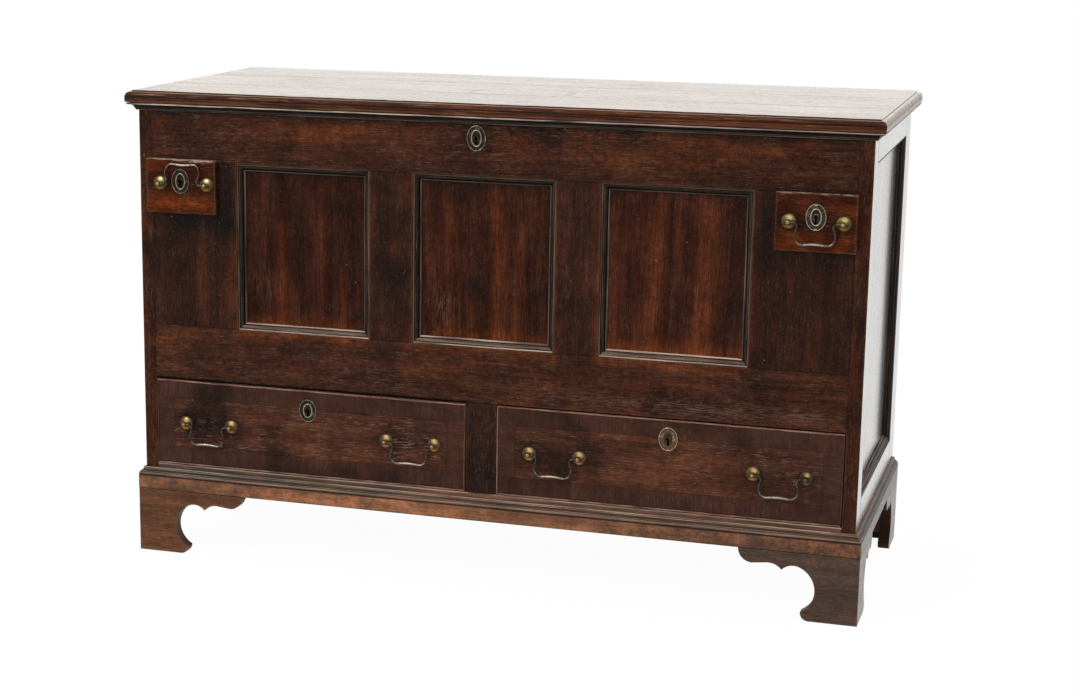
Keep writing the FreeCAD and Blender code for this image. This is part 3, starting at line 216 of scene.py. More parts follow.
def makeOak(name, changes=None, source=None):
    look = {**oakLook, **(changes or {})}
    material = bpy.data.materials.new(name)
    g = Graph(material)
    placeMm = g.placeInMm()
    rubbedAndHighlit, soiledAndShaded, bared = g.parts(g.attribute("age"))
    warmed, shaded, paledAndHighlit = g.parts(g.attribute("stain"))
    tone = g.attribute("tone", "Fac")
    if source is None:
        grain = g.attribute("grain")
    else:
        # A solid of the part has no grain of its own, so it is cut out of one log, lying along an axis.
        sides = g.parts(placeMm)
        moved = [g.plus(sides["xyz".index(axis)], away) for axis, away in zip(source, solidsInLog)]
        grain = g.add("CombineXYZ", dict(enumerate(moved))).outputs[0]
    noises = oakNoises
    if look["drawnOut"]:
        grain = g.scaled(grain, drawnOutGrain)
        noises = {**oakNoises, "mottle": drawnOutMottle}
    followed = {"grain": grain, "place": placeMm}
    wood = SimpleNamespace(**{
        key: g.cloud(followed[what], (length, width, width), *kind)
        for key, (what, length, width, *kind) in noises.items()
    })
    along, across, deep = g.parts(grain)
    bent = g.plus(across, g.times(g.minus(wood.wander, 0.5), 14.0))
    ring = g.maths("SQRT", g.plus(g.times(bent, bent), g.times(deep, deep)))
    ringPlace = g.add("CombineXYZ", {0: ring, 1: along}).outputs[0]
    rings = g.cloud(ringPlace, (0.15, 0.0022, 1.0), 4.0, 0.68)
    poreMask = g.between(wood.pores, 0.54, 0.66)
    # Where a place is stained pale, and where it is painted pale as a highlight, there are more of the pale
    # flecks.
    dashes = g.between(g.plus(wood.dashes, g.times(paledAndHighlit, 0.20)), 0.600, 0.685)
    specks = g.between(wood.specks, 0.690, 0.740)

    ringShare = 0.0 if look["drawnOut"] else 0.40
    figure = g.plus(g.times(rings, ringShare), g.times(wood.fleck, 1 - ringShare))
    colour = g.blend(g.between(figure, *look["contrast"]), look["dark"], look["middle"])
    warmth = g.times(g.between(wood.streaks, 0.52, 0.72), look["warmShare"])
    warmth = g.plus(warmth, g.times(warmed, g.between(wood.fleck, 0.36, 0.62, (0.50, 1.05))))
    warmth = g.clamped(g.times(warmth, g.between(wood.mottle, 0.30, 0.58, (0.65, 1.0))))
    colour = g.blend(warmth, colour, look["warm"])
    # The shaded stain is dark stain, and in places painted shade.
    shade = g.times(g.between(wood.clumps, 0.50, 0.70), look["shadeShare"])
    shade = g.clamped(g.plus(shade, g.times(shaded, g.between(wood.mottle, 0.30, 0.65, (1.10, 0.70)))))
    colour = g.blend(shade, colour, look["shade"])
    # Each board is a little lighter or darker than the next; on the mouldings' bottom strips the tone is
    # painted light.
    lightness = g.times(
        g.plus(tone, 1.0),
        g.between(wood.fine, 0.25, 0.75, (0.80, 1.20)),
        g.between(wood.mottle, 0.32, 0.68, look["mottleSpan"]),
        g.between(wood.streaks, 0.34, 0.66, look["streakSpan"]),
        g.between(wood.blotches, 0.32, 0.68, (0.86, 1.16)),
    )
    grey = g.add("CombineColor", {0: lightness, 1: lightness, 2: lightness}).outputs[0]
    colour = g.blend(1.0, colour, grey, "MULTIPLY")
    raw = g.blend(g.between(rings, 0.3, 0.7), [v * 0.62 for v in look["raw"]], look["raw"])
    colour = g.blend(bared, colour, raw)
    colour = g.blend(g.times(poreMask, look["poreShare"]), colour, look["pore"])
    clustered = g.times(g.between(wood.blotches, 0.42, 0.60, (0.12, 1.0)), look["dashShare"])
    colour = g.blend(g.times(dashes, g.maths("MAXIMUM", clustered, paledAndHighlit)), colour, look["dash"])
    colour = g.blend(g.times(specks, look["speckShare"]), colour, look["pale"])
    # The dirt colour is also painted shade where the soiled part holds shade.
    dirtAndShade = g.times(soiledAndShaded, g.between(wood.mottle, 0.25, 0.6, (0.72, 1.0)), look["dirtShare"])
    colour = g.blend(dirtAndShade, colour, look["dirtAndShade"])
    # The worn colour is also a painted highlight where the rubbed part holds one.
    worn = g.times(rubbedAndHighlit, g.between(wood.rub, 0.40, 0.60, (0.15, 1.0)), look["wearShare"])
    colour = g.blend(worn, colour, look["worn"])
    # Small knocks show pale wood, most of all on the arrises.
    cells = g.add("TexVoronoi", {"Vector": placeMm, "Scale": 0.060, "Randomness": 1.0}, feature="F1")
    chosen = g.add("SeparateColor", {0: cells.outputs["Color"]}).outputs[0]
    often = g.minus(0.965, g.times(rubbedAndHighlit, 0.50))
    knock = g.between(g.plus(cells.outputs["Distance"], g.times(wood.fine, 0.06)), 0.125, 0.085)
    knock = g.times(knock, g.maths("GREATER_THAN", chosen, often), look["nickShare"])
    colour = g.blend(knock, colour, look["nick"])

    oval = 0.0
    if look["oval"]:
        # A long oval where the saw has met a year ring, darkest at its two points; on the top side only.
        x, y, halfLong, halfWide, above = look["oval"]
        px, py, pz = g.parts(placeMm)
        u = g.maths("DIVIDE", g.minus(px, x), halfLong)
        v = g.maths("DIVIDE", g.minus(py, y), halfWide)
        reach = g.maths("SQRT", g.plus(g.times(u, u), g.times(v, v)))
        reach = g.plus(reach, g.times(g.minus(wood.wander, 0.5), 0.12))
        line = g.between(g.maths("ABSOLUTE", g.minus(reach, 1.0)), 0.030, 0.115, (1.0, 0.0))
        points = g.between(g.maths("ABSOLUTE", u), 0.80, 1.0, (0.40, 1.0))
        oval = g.times(line, points, g.maths("GREATER_THAN", pz, above))
        colour = g.blend(g.times(oval, 0.7), colour, look["dark"])

    roughness = g.plus(g.between(wood.mottle, 0.25, 0.75, look["roughness"]), g.times(poreMask, 0.12))
    raised = g.plus(g.times(wood.fleck, 0.5), g.times(wood.fine, 0.35), g.times(wood.rub, 0.3))
    height = g.minus(raised, g.plus(g.times(poreMask, 0.8), g.times(knock, 1.2)))
    more = {"Specular IOR Level": look["specular"]}
    if look["coat"]:
        # Polish lies thinner over open grain, knocks and stained places.
        thin = g.clamped(g.plus(
            g.times(poreMask, look["patchy"] * 0.7),
            g.times(shade, 0.25),
            g.between(wood.streaks, 0.36, 0.64, (look["patchy"], 0.0)),
            g.times(soiledAndShaded, 0.8),
            g.times(oval, 0.35),
        ))
        more["Coat Weight"] = g.times(g.minus(1.0, thin), look["coat"])
        more["Coat Roughness"] = look["coatRoughness"]
        more["Coat IOR"] = look["coatIndex"]
    g.finish(colour, roughness, height, (look["bump"], 0.0004), more)
    return material


metalLook = {
    "bright": (0.62, 0.38, 0.125),
    "dull": (0.115, 0.082, 0.040),
    "dirtAndShade": (0.016, 0.015, 0.010),
    "copper": (0.40, 0.150, 0.050),
    "dullFrom": 0.42,
    "dullShare": 0.8,
    "bump": 0.18,
    "roughness": (0.20, 0.50),
}


def makeMetal(name, changes):
    look = {**metalLook, **changes}
    material = bpy.data.materials.new(name)
    g = Graph(material)
    placeMm = g.placeInMm()
    rubbedAndHighlit, soiledAndShaded, _ = g.parts(g.attribute("age"))
    # The coppery part is a painted reflection, on the lower part of a rose.
    copperReflection = g.parts(g.attribute("stain"))[0]
    stains = g.cloud(placeMm, (0.16, 0.16, 0.16), 3.0, 0.65)
    pits = g.cloud(placeMm, (1.1, 1.1, 1.1), 2.0, 0.6)
    dull = g.plus(g.between(stains, look["dullFrom"], look["dullFrom"] + 0.22), g.attribute("tone", "Fac"))
    dull = g.times(g.clamped(g.minus(dull, g.times(rubbedAndHighlit, 0.95))), look["dullShare"])
    colour = g.blend(dull, g.blend(copperReflection, look["bright"], look["copper"]), look["dull"])
    dirtAndShade = g.times(soiledAndShaded, g.between(pits, 0.25, 0.6, (0.75, 1.0)))
    colour = g.blend(dirtAndShade, colour, look["dirtAndShade"])
    roughness = g.between(g.plus(dull, soiledAndShaded), 0.0, 0.9, look["roughness"])
    height = g.plus(g.times(pits, 0.5), g.times(stains, 0.6))
    g.finish(colour, roughness, height, (look["bump"], 0.0003), {"Metallic": 1.0})
    return material


panelOak = makeOak("panelOak", {
    "dark": (0.0195, 0.0060, 0.0036), "middle": (0.0540, 0.0156, 0.0078), "warm": (0.1650, 0.0390, 0.0090),
    "warmShare": 0.10, "dashShare": 0.25, "speckShare": 0.30, "specular": 0.04, "streakSpan": (0.70, 1.36),
})
carcassOak = makeOak("carcassOak", {
    "dark": (0.0240, 0.0080, 0.0045), "middle": (0.0730, 0.0237, 0.0116), "dashShare": 0.60,
    "warmShare": 0.30, "mottleSpan": (0.68, 1.36),
})
uprightOak = makeOak("uprightOak", {
    "dark": (0.0180, 0.0066, 0.0042), "middle": (0.0480, 0.0165, 0.0090), "warm": (0.1250, 0.0320, 0.0095),
    "dashShare": 0.30, "warmShare": 0.25,
})
# A paler grey copy of the oak for the ends' frames and panels: painted sheen standing in for the glare where
# the ends are seen edge-on.
endOakWithSheen = makeOak("endOakWithSheen", {
    "specular": 0.5, "coat": 1.0, "coatRoughness": 0.12, "dark": (0.050, 0.028, 0.019),
    "middle": (0.135, 0.080, 0.050), "shadeShare": 0.04, "roughness": (0.20, 0.30), "bump": 0.015,
    "coatIndex": 1.66, "streakSpan": (0.9, 1.1), "patchy": 0.10,
})
# Its near-white worn colour is partly a painted highlight on the fillets and bottom strips of the mouldings.
mouldingOakWithHighlight = makeOak("mouldingOakWithHighlight", {
    "dark": (0.0100, 0.0078, 0.0060), "middle": (0.0270, 0.0130, 0.0085), "warm": (0.0600, 0.0220, 0.0100),
    "worn": (0.8600, 0.6400, 0.4900), "dirtAndShade": (0.0040, 0.0050, 0.0044), "specular": 0.06, "wearShare": 0.90,
    "dash": (0.5600, 0.4900, 0.4300), "dashShare": 0.15, "drawnOut": True,
})
# Its middle, half length and half width, and the height above which it shows.
lidOval = (0.0, -46.0, 86.0, 76.0, 805.0)
# Its bright worn colour, where the arris along the top of the moulded edge is rubbed, is a painted highlight.
lidOakWithHighlight = makeOak("lidOakWithHighlight", {
    "dark": (0.120, 0.062, 0.030), "middle": (0.220, 0.118, 0.060), "warm": (0.260, 0.125, 0.060),
    "worn": (0.800, 0.480, 0.260), "shadeShare": 0.25, "dashShare": 0.2, "bump": 0.07, "specular": 0.35,
    "coat": 0.51, "coatRoughness": 0.20, "roughness": (0.30, 0.46), "mottleSpan": (0.94, 1.06),
    "oval": lidOval,
})
lidEdgeOak = makeOak("lidEdgeOak", {
    "dark": (0.0240, 0.0080, 0.0044), "middle": (0.0920, 0.0280, 0.0130), "worn": (0.2800, 0.1150, 0.0560),
    "dirtAndShade": (0.0050, 0.0036, 0.0030), "dash": (0.5200, 0.3500, 0.2300), "wearShare": 0.85, "dirtShare": 1.0,
    "nickShare": 0.75, "dashShare": 0.35, "drawnOut": True,
})
# The base moulding, bottom rail, band and front feet are paler oak, and paler still with painted light
# standing in for light from the floor.
baseMouldOakWithFloorLight = makeOak("baseMouldOakWithFloorLight", {
    "dark": (0.0830, 0.0430, 0.0300), "middle": (0.2300, 0.1180, 0.0780), "warm": (0.3400, 0.1400, 0.0700),
    "worn": (0.9000, 0.6300, 0.4600), "dirtAndShade": (0.0120, 0.0100, 0.0085), "shade": (0.0600, 0.0520, 0.0400),
    "dashShare": 0.35, "specular": 0.12, "shadeShare": 0.7, "nickShare": 0.8, "dirtShare": 0.92,
    "wearShare": 0.9, "drawnOut": True,
})
baseOakWithFloorLight = makeOak("baseOakWithFloorLight", {
    "dark": (0.0900, 0.0330, 0.0135), "middle": (0.1750, 0.0680, 0.0290), "warm": (0.2600, 0.0980, 0.0340),
    "worn": (0.3600, 0.2200, 0.1500), "dashShare": 0.35, "specular": 0.08, "shade": (0.0620, 0.0540, 0.0520),
    "dash": (0.1900, 0.1300, 0.1000), "shadeShare": 0.40, "speckShare": 0.6, "raw": (0.0450, 0.0300, 0.0190),
})
bandOakWithFloorLight = makeOak("bandOakWithFloorLight", {
    "dark": (0.1900, 0.0830, 0.0400), "middle": (0.3700, 0.1650, 0.0800), "warm": (0.4800, 0.1700, 0.0800),
    "worn": (0.4200, 0.2700, 0.1900), "dashShare": 0.35, "specular": 0.10, "shade": (0.0900, 0.0460, 0.0290),
    "shadeShare": 0.35, "dirtAndShade": (0.0150, 0.0085, 0.0060),
})
# Grey copies of the band's, the feet's and the base moulding's oak for their ends: painted sheen where they
# are seen edge-on.
baseEndOakWithSheen = makeOak("baseEndOakWithSheen", {
    "dark": (0.060, 0.036, 0.026), "middle": (0.130, 0.078, 0.054), "warm": (0.180, 0.100, 0.062),
    "worn": (0.420, 0.300, 0.220), "specular": 0.5, "coat": 0.55, "coatRoughness": 0.30,
    "roughness": (0.36, 0.50),
})
baseMouldEndOakWithSheen = makeOak("baseMouldEndOakWithSheen", {
    "dark": (0.0260, 0.0180, 0.0140), "middle": (0.0720, 0.0530, 0.0430), "worn": (0.6500, 0.5600, 0.4800),
    "dirtAndShade": (0.0060, 0.0050, 0.0040), "specular": 0.22, "coat": 0.12, "coatRoughness": 0.30,
    "roughness": (0.36, 0.50), "drawnOut": True,
})
# The rear feet and their back plates: the feet's oak made much darker, as painted shade.
rearOakInShade = makeOak("rearOakInShade", {
    "dark": (0.010, 0.0065, 0.0050), "middle": (0.026, 0.0150, 0.0105), "dashShare": 0.2,
    "raw": (0.0300, 0.0200, 0.0130),
})
dummyOak = makeOak("dummyOak", {
    "dark": (0.0380, 0.0065, 0.0018), "middle": (0.0740, 0.0130, 0.0028), "warm": (0.2500, 0.0540, 0.0060),
    "worn": (0.3000, 0.1300, 0.0700), "shade": (0.0170, 0.0055, 0.0026), "shadeShare": 0.3, "warmShare": 0.20,
    "specular": 0.05, "roughness": (0.24, 0.38), "dash": (0.6600, 0.4700, 0.3800), "dashShare": 0.12,
})
drawerOak = makeOak("drawerOak", {
    "dark": (0.0490, 0.0178, 0.0104), "middle": (0.1140, 0.0408, 0.0226), "warm": (0.1850, 0.0560, 0.0210),
    "dash": (0.2200, 0.1350, 0.0980), "dashShare": 0.90, "speckShare": 0.6, "warmShare": 0.35,
})
bandingOak = makeOak("bandingOak", {
    "dark": (0.0620, 0.0265, 0.0180), "middle": (0.0950, 0.0405, 0.0275), "warm": (0.1550, 0.0480, 0.0220),
    "dashShare": 0.35, "warmShare": 0.20, "poreShare": 0.12, "streakSpan": (0.92, 1.08),
    "mottleSpan": (0.88, 1.14),
})
# Its pale worn colour on the beads' rubbed tops is partly a painted highlight.
beadOakWithHighlight = makeOak("beadOakWithHighlight", {
    "dark": (0.0420, 0.0150, 0.0090), "middle": (0.1000, 0.0370, 0.0215), "worn": (0.6200, 0.3400, 0.2400),
    "wearShare": 0.85, "nickShare": 0.8, "specular": 0.12,
})
innerLook = {
    "dark": (0.090, 0.050, 0.025), "middle": (0.170, 0.102, 0.052), "warm": (0.200, 0.110, 0.050),
    "worn": (0.260, 0.170, 0.100), "shade": (0.070, 0.045, 0.028), "specular": 0.3, "roughness": (0.55, 0.75),
    "dashShare": 0.2, "pore": (0.060, 0.034, 0.018), "dirtAndShade": (0.050, 0.034, 0.022),
}
innerOak = makeOak("innerOak", innerLook)
innerAlongX = makeOak("innerAlongX", innerLook, "xzy")
innerAlongY = makeOak("innerAlongY", innerLook, "yzx")
# The core of each drawer front is made near black: painted shade, so that the gap above the drawer reads
# dark.
drawerCoreOak = makeOak("drawerCoreOak", {
    "dark": (0.0070, 0.0036, 0.0022), "middle": (0.0240, 0.0105, 0.0056), "warm": (0.0400, 0.0150, 0.0060),
    "dashShare": 0.1, "speckShare": 0.1,
}, "xzy")
postBrass = makeMetal("postBrass", {
    "bright": (0.62, 0.46, 0.19), "copper": (0.28, 0.170, 0.045), "dull": (0.075, 0.070, 0.045),
    "dirtAndShade": (0.022, 0.016, 0.008), "roughness": (0.14, 0.42), "dullFrom": 0.50,
})
copperBrass = makeMetal("copperBrass", {
    "bright": (0.58, 0.40, 0.17), "copper": (0.46, 0.185, 0.060), "dull": (0.080, 0.078, 0.056),
    "dirtAndShade": (0.020, 0.014, 0.008), "roughness": (0.16, 0.44), "dullFrom": 0.50,
})
bailBrass = makeMetal("bailBrass", {
    "bright": (0.36, 0.330, 0.255), "dull": (0.070, 0.068, 0.054), "dirtAndShade": (0.018, 0.018, 0.015),
    "roughness": (0.24, 0.48), "dullFrom": 0.34, "dullShare": 0.9, "bump": 0.05,
})
plateBrass = makeMetal("plateBrass", {
    "bright": (0.31, 0.265, 0.210), "dull": (0.038, 0.029, 0.020), "dirtAndShade": (0.014, 0.010, 0.006),
    "roughness": (0.26, 0.55), "dullFrom": 0.30, "dullShare": 0.95,
})
dishBrass = makeMetal("dishBrass", {
    "bright": (0.80, 0.640, 0.420), "dull": (0.090, 0.045, 0.024), "dirtAndShade": (0.020, 0.011, 0.007),
    "roughness": (0.20, 0.50), "dullFrom": 0.30, "dullShare": 0.95,
})
lockIron = makeMetal("lockIron", {
    "bright": (0.16, 0.155, 0.150), "dull": (0.060, 0.048, 0.040), "roughness": (0.38, 0.60),
})
hingeIron = makeMetal("hingeIron", {
    "bright": (0.095, 0.090, 0.086), "dull": (0.050, 0.032, 0.022), "roughness": (0.42, 0.66),
})
print("finishes made,", len(bpy.data.materials), "materials")


class Stuff:
    # Points and faces of one piece. Each point also has its place in the log, its age (how far it is
    # rubbed, how dirty, how far it is bare inner wood), its stain (warm, shaded, pale) and its board's tone.
    # In places the rubbed and pale parts hold painted highlights, and the dirty and shaded parts painted
    # shade.
    def __init__(self):
        self.points = []
        self.faces = []
        self.grain = []
        self.age = []
        self.stain = []
        self.tone = []

    def point(self, place, grain=(0, 0, 0), age=(0, 0, 0), tone=0.0, stain=(0, 0, 0)):
        self.points.append(Vector(place) * mm)
        self.grain.append(tuple(grain))
        self.age.append(tuple(min(1.0, max(0.0, v)) for v in age))
        self.stain.append(tuple(min(1.0, max(0.0, v)) for v in stain))
        self.tone.append(tone)
        return len(self.points) - 1

    def face(self, *corners):
        self.faces.append(corners)

    def rows(self, rows, closed=False, capped=False):
        # Joins rows of points, each with as many as the last, into a skin.
        for first, second in zip(rows, rows[1:]):
            count = len(first)
            for i in range(count if closed else count - 1):
                j = (i + 1) % count
                self.face(first[i], first[j], second[j], second[i])
        if capped:
            self.face(*rows[0])
            self.face(*rows[-1])

    def take(self, other, age, tone):
        # Adds another piece's points and faces, all of one age and tone.
        shift = len(self.points)
        for place in other.points:
            self.point(place / mm, age=age, tone=tone)
        for corners in other.faces:
            self.face(*(corner + shift for corner in corners))


def logOf(grain, seed, middle, heart=None, tilt=None):
    # Where a board's points lie in its log: along the grain, across the board, into the board.
    draw = random.Random(seed)
    along, across, deep = ("xyz".index(letter) for letter in grain)
    start = draw.uniform(200, 4000)
    if heart is None:
        heart = (draw.choice((-1, 1)) * draw.uniform(70, 190), draw.uniform(-60, 60))
    if tilt is None:
        tilt = draw.uniform(-0.02, 0.02)

    def placeInLog(place):
        along0 = place[along]
        return (
            along0 + start,
            place[across] - middle[across] + heart[0] + tilt * along0,
            place[deep] - middle[deep] + heart[1],
        )

    return placeInLog


def toneOf(seed):
    return random.Random(seed + " tone").uniform(-0.16, 0.16)


def gridLines(low, high, arris, spacing):
    # Lines across one side of a board, close together where it is rounded and rubbed.
    length = high - low
    near = [0.0, arris] + [v for v in (arris + 2.2, arris + 5.0, arris + 9.0) if v < length / 2 - 0.5]
    inner = length - 2 * near[-1]
    count = max(1, round(inner / spacing))
    middle = [low + near[-1] + inner * i / count for i in range(1, count)]
    return [low + v for v in near] + middle + [high - v for v in reversed(near)]


def dent(place, size, amount, threshold=0.08):
    # How far a rubbed arris is worn in at this place.
    rub = noise.noise(place / size) + 0.5 * noise.noise(place / (size * 0.3))
    return max(0.0, rub - threshold) * amount


def addBoard(stuff, low, high, grain, seed, arris=0.8, chip=0.35, step=16.0, wide=80.0, tone=None, bare=None,
             dirty=0.0, uneven=0.2, stain=None, exposed=None, wear=1.0, joint=0.5):
    # A sawn board with rounded arrises. step and wide are how far apart its points lie along and across the
    # grain. bare names a side, such as "+y", that has no finish, or tells it of a place. stain gives a
    # place's stains; exposed tells whether its arris is rubbed, or else a dark joint.
    low, high = Vector(low), Vector(high)
    spacing = [80.0, 80.0, 80.0]
    spacing["xyz".index(grain[0])] = step
    spacing["xyz".index(grain[1])] = wide
    lines = [gridLines(low[i], high[i], arris, spacing[i]) for i in range(3)]
    log = logOf(grain, seed, (low + high) / 2)
    light = toneOf(seed) if tone is None else tone
    known = {}

    def corner(key):
        if key in known:
            return known[key]
        square = Vector(lines[i][key[i]] for i in range(3))
        inner = Vector(min(max(square[i], low[i] + arris), high[i] - arris) for i in range(3))
        outwards = (square - inner).normalized()
        edges = sorted(min(square[i] - low[i], high[i] - square[i]) for i in range(3))
        fromArris = max(0.0, edges[1] - arris)
        rubbedAndHighlit = wear * max(0.0, 1 - fromArris / 2.4)
        soilAndShade = dirty * max(0.0, 1 - fromArris / 12)
        if exposed is not None and not exposed(square):
            soilAndShade = max(soilAndShade, joint * (1 - fromArris / 1.2))
            rubbedAndHighlit = 0.0
        depth = dent(square, 15, chip * max(0.0, 1 - fromArris / 3)) if rubbedAndHighlit or exposed is None else 0.0
        depth += uneven * (0.5 + 0.5 * noise.noise(square / 140)) * (1 if fromArris > 2 else 0.6)
        place = inner + outwards * (arris - depth)
        bared = 0.0
        if callable(bare):
            bared = bare(square)
        elif bare:
            side = "xyz".index(bare[1])
            away = high[side] - square[side] if bare[0] == "+" else square[side] - low[side]
            bared = 1.0 if away < 2 or away < (high[side] - low[side]) * 0.75 else 0.0
        stains = stain(square) if stain else (0, 0, 0)
        known[key] = stuff.point(place, log(place), (rubbedAndHighlit, soilAndShade, bared), light, stains)
        return known[key]

    for axis in range(3):
        first, second = (axis + 1) % 3, (axis + 2) % 3
        for end in (0, len(lines[axis]) - 1):
            for i in range(len(lines[first]) - 1):
                for j in range(len(lines[second]) - 1):
                    around = []
                    for di, dj in ((0, 0), (1, 0), (1, 1), (0, 1)):
                        key = [0, 0, 0]
                        key[axis], key[first], key[second] = end, i + di, j + dj
                        around.append(corner(tuple(key)))
                    stuff.face(*(around if end else reversed(around)))
    return log, light


def arcThrough(start, middle, end, count):
    # Points after the start of the arc through three points.
    (ax, ay), (bx, by), (cx, cy) = start, middle, end
    a, b, c = (x * x + y * y for x, y in (start, middle, end))
    cross = 2 * (ax * (by - cy) + bx * (cy - ay) + cx * (ay - by))
    x0 = (a * (by - cy) + b * (cy - ay) + c * (ay - by)) / cross
    y0 = (a * (cx - bx) + b * (ax - cx) + c * (bx - ax)) / cross
    radius = math.hypot(ax - x0, ay - y0)
    angles = [math.atan2(y - y0, x - x0) for x, y in (start, middle, end)]
    turn = (angles[2] - angles[0]) % math.tau
    if (angles[1] - angles[0]) % math.tau > turn:
        turn -= math.tau
    steps = [angles[0] + turn * i / count for i in range(1, count + 1)]
    return [(x0 + radius * math.cos(angle), y0 + radius * math.sin(angle)) for angle in steps]


def sectionOf(path, soften=0.25):
    # A moulding's outline with its corners eased, and how rubbed and how dirty each point is. A pair of
    # points in the path stands for an arc: through the first, to the second.
    outline = [path[0]]
    for entry in path[1:]:
        if isinstance(entry[0], tuple):
            outline += arcThrough(outline[-1], *entry, 6)
        else:
            outline.append(entry)
    eased = []
    for i, (x, y) in enumerate(outline):
        before, after = Vector(outline[i - 1]), Vector(outline[(i + 1) % len(outline)])
        here = Vector((x, y))
        back, onwards = before - here, after - here
        bend = math.pi - back.angle(onwards)
        if bend > 0.7:
            eased.append(here + back.normalized() * min(soften, back.length * 0.4))
            eased.append(here + onwards.normalized() * min(soften, onwards.length * 0.4))
        else:
            eased.append(here)
    count = len(eased)
    area = sum(eased[i - 1].cross(eased[i]) for i in range(count))
    section = []
    for i, here in enumerate(eased):
        back, onwards = here - eased[i - 1], eased[(i + 1) % count] - here
        bend = math.atan2(back.cross(onwards), back.dot(onwards)) * (1 if area > 0 else -1)
        curve = bend / max(0.4, (back.length + onwards.length) / 2)
        section.append((here.x, here.y, min(1.0, max(0.0, curve * 1.1)), min(1.0, max(0.0, -curve * 5))))
    return section


def addRun(stuff, section, start, along, across, up, length, grain, seed, mitres=(0, 0), step=14.0, chip=0.5,
           tone=None, dirty=1.0, wear=0.0, rub=1.0, stain=None):
    # A moulding: its section carried along a line, each end square or mitred.
    start = Vector(start)
    log = logOf(grain, seed, start + along * (length / 2), tilt=0.0)
    light = toneOf(seed) if tone is None else tone
    count = max(2, round(length / step))
    middleX = sum(entry[0] for entry in section) / len(section)
    middleY = sum(entry[1] for entry in section) / len(section)
    rows = []
    for station in range(count + 1):
        row = []
        for x, y, rubbedAndHighlit, soiledAndShaded in section:
            begin, end = mitres[0] * x, length - mitres[1] * x
            place = start + along * (begin + (end - begin) * station / count)
            ideal = place + across * x + up * y
            inwards = Vector((middleX - x, middleY - y)).normalized()
            depth = dent(ideal, 80, chip * rubbedAndHighlit) + 0.12 * rubbedAndHighlit * (1 + noise.noise(ideal / 80))
            worn = place + across * (x + inwards.x * depth) + up * (y + inwards.y * depth)
            bias = wear * (1 - soiledAndShaded) * (0.6 + 0.5 * noise.noise(ideal / 60))
            age = (max(rubbedAndHighlit * rub, bias), soiledAndShaded * dirty, 0)
            row.append(stuff.point(worn, log(worn), age, light, stain(worn) if stain else (0, 0, 0)))
        rows.append(row)
    stuff.rows(rows, closed=True, capped=True)


def addTurned(stuff, profile, centre, axis, side, around=28, tone=0.0, patinaAndPaintedLight=None):
    # A turned part: the profile is (distance along the axis, radius, rubbed, dirty). A function can give a
    # place's age and stain instead, patina and painted light, from how far out and how far up it is.
    other = axis.cross(side)
    rows = []
    for along, radius, rubbedAndHighlit, soiledAndShaded in profile:
        spot = Vector(centre) + axis * along
        if radius < 0.01:
            rows.append([stuff.point(spot, age=(rubbedAndHighlit, soiledAndShaded, 0), tone=tone)])
            continue
        row = []
        for a in (math.tau * i / around for i in range(around)):
            reach = (side * math.cos(a) + other * math.sin(a)) * radius
            age, stain = (rubbedAndHighlit, soiledAndShaded, 0), (0, 0, 0)
            if patinaAndPaintedLight:
                age, stain = patinaAndPaintedLight(reach, radius, rubbedAndHighlit, soiledAndShaded)
            row.append(stuff.point(spot + reach, age=age, tone=tone, stain=stain))
        rows.append(row)
    for first, second in zip(rows, rows[1:]):
        for i in range(around):
            j = (i + 1) % around
            if len(first) == 1:
                stuff.face(first[0], second[j], second[i])
            elif len(second) == 1:
                stuff.face(first[i], first[j], second[0])
            else:
                stuff.face(first[i], first[j], second[j], second[i])
    for row in (rows[0], rows[-1]):
        if len(row) > 1:
            stuff.face(*row)


def addTube(stuff, path, radii, ages, around=14, tone=0.0):
    # A round wire along a path, with its own thickness and age at each point.
    side = (path[1] - path[0]).normalized().orthogonal().normalized()
    rows = []
    for i, (spot, radius, age) in enumerate(zip(path, radii, ages)):
        ahead = (path[min(i + 1, len(path) - 1)] - path[max(i - 1, 0)]).normalized()
        side = (side - ahead * side.dot(ahead)).normalized()
        other = ahead.cross(side)
        angles = [math.tau * k / around for k in range(around)]
        reaches = [(side * math.cos(a) + other * math.sin(a)) * radius for a in angles]
        rows.append([stuff.point(spot + reach, age=age, tone=tone) for reach in reaches])
    stuff.rows(rows, closed=True, capped=True)


def smoothThrough(points):
    # A smooth line through the points, with six steps from each to the next.
    path = []
    for i in range(len(points) - 1):
        p0, p1 = points[max(i - 1, 0)], points[i]
        p2, p3 = points[i + 1], points[min(i + 2, len(points) - 1)]
        for t in (step / 6 for step in range(6)):
            path.append(0.5 * (
                2 * p1 + (p2 - p0) * t + (2 * p0 - 5 * p1 + 4 * p2 - p3) * t * t
                + (3 * p1 - p0 - 3 * p2 + p3) * t ** 3
            ))
    path.append(points[-1])
    return path


def makeMesh(name, points, faces):
    mesh = bpy.data.meshes.new(name)
    mesh.from_pydata(points, [], faces)
    work = bmesh.new()
    work.from_mesh(mesh)
    bmesh.ops.recalc_face_normals(work, faces=work.faces)
    work.to_mesh(mesh)
    work.free()
    return mesh


def writeAttributes(mesh, grain, age, stain, tone):
    for name, values in (("grain", grain), ("age", age), ("stain", stain), ("tone", tone)):
        if name in mesh.attributes:
            mesh.attributes.remove(mesh.attributes[name])
        if name == "tone":
            mesh.attributes.new(name, "FLOAT", "POINT").data.foreach_set("value", values)
        else:
            layer = mesh.attributes.new(name, "FLOAT_VECTOR", "POINT")
            layer.data.foreach_set("vector", [v for triple in values for v in triple])


def evenNormals(piece):
    smoothing = piece.modifiers.new("evenNormals", "WEIGHTED_NORMAL")
    smoothing.keep_sharp = True


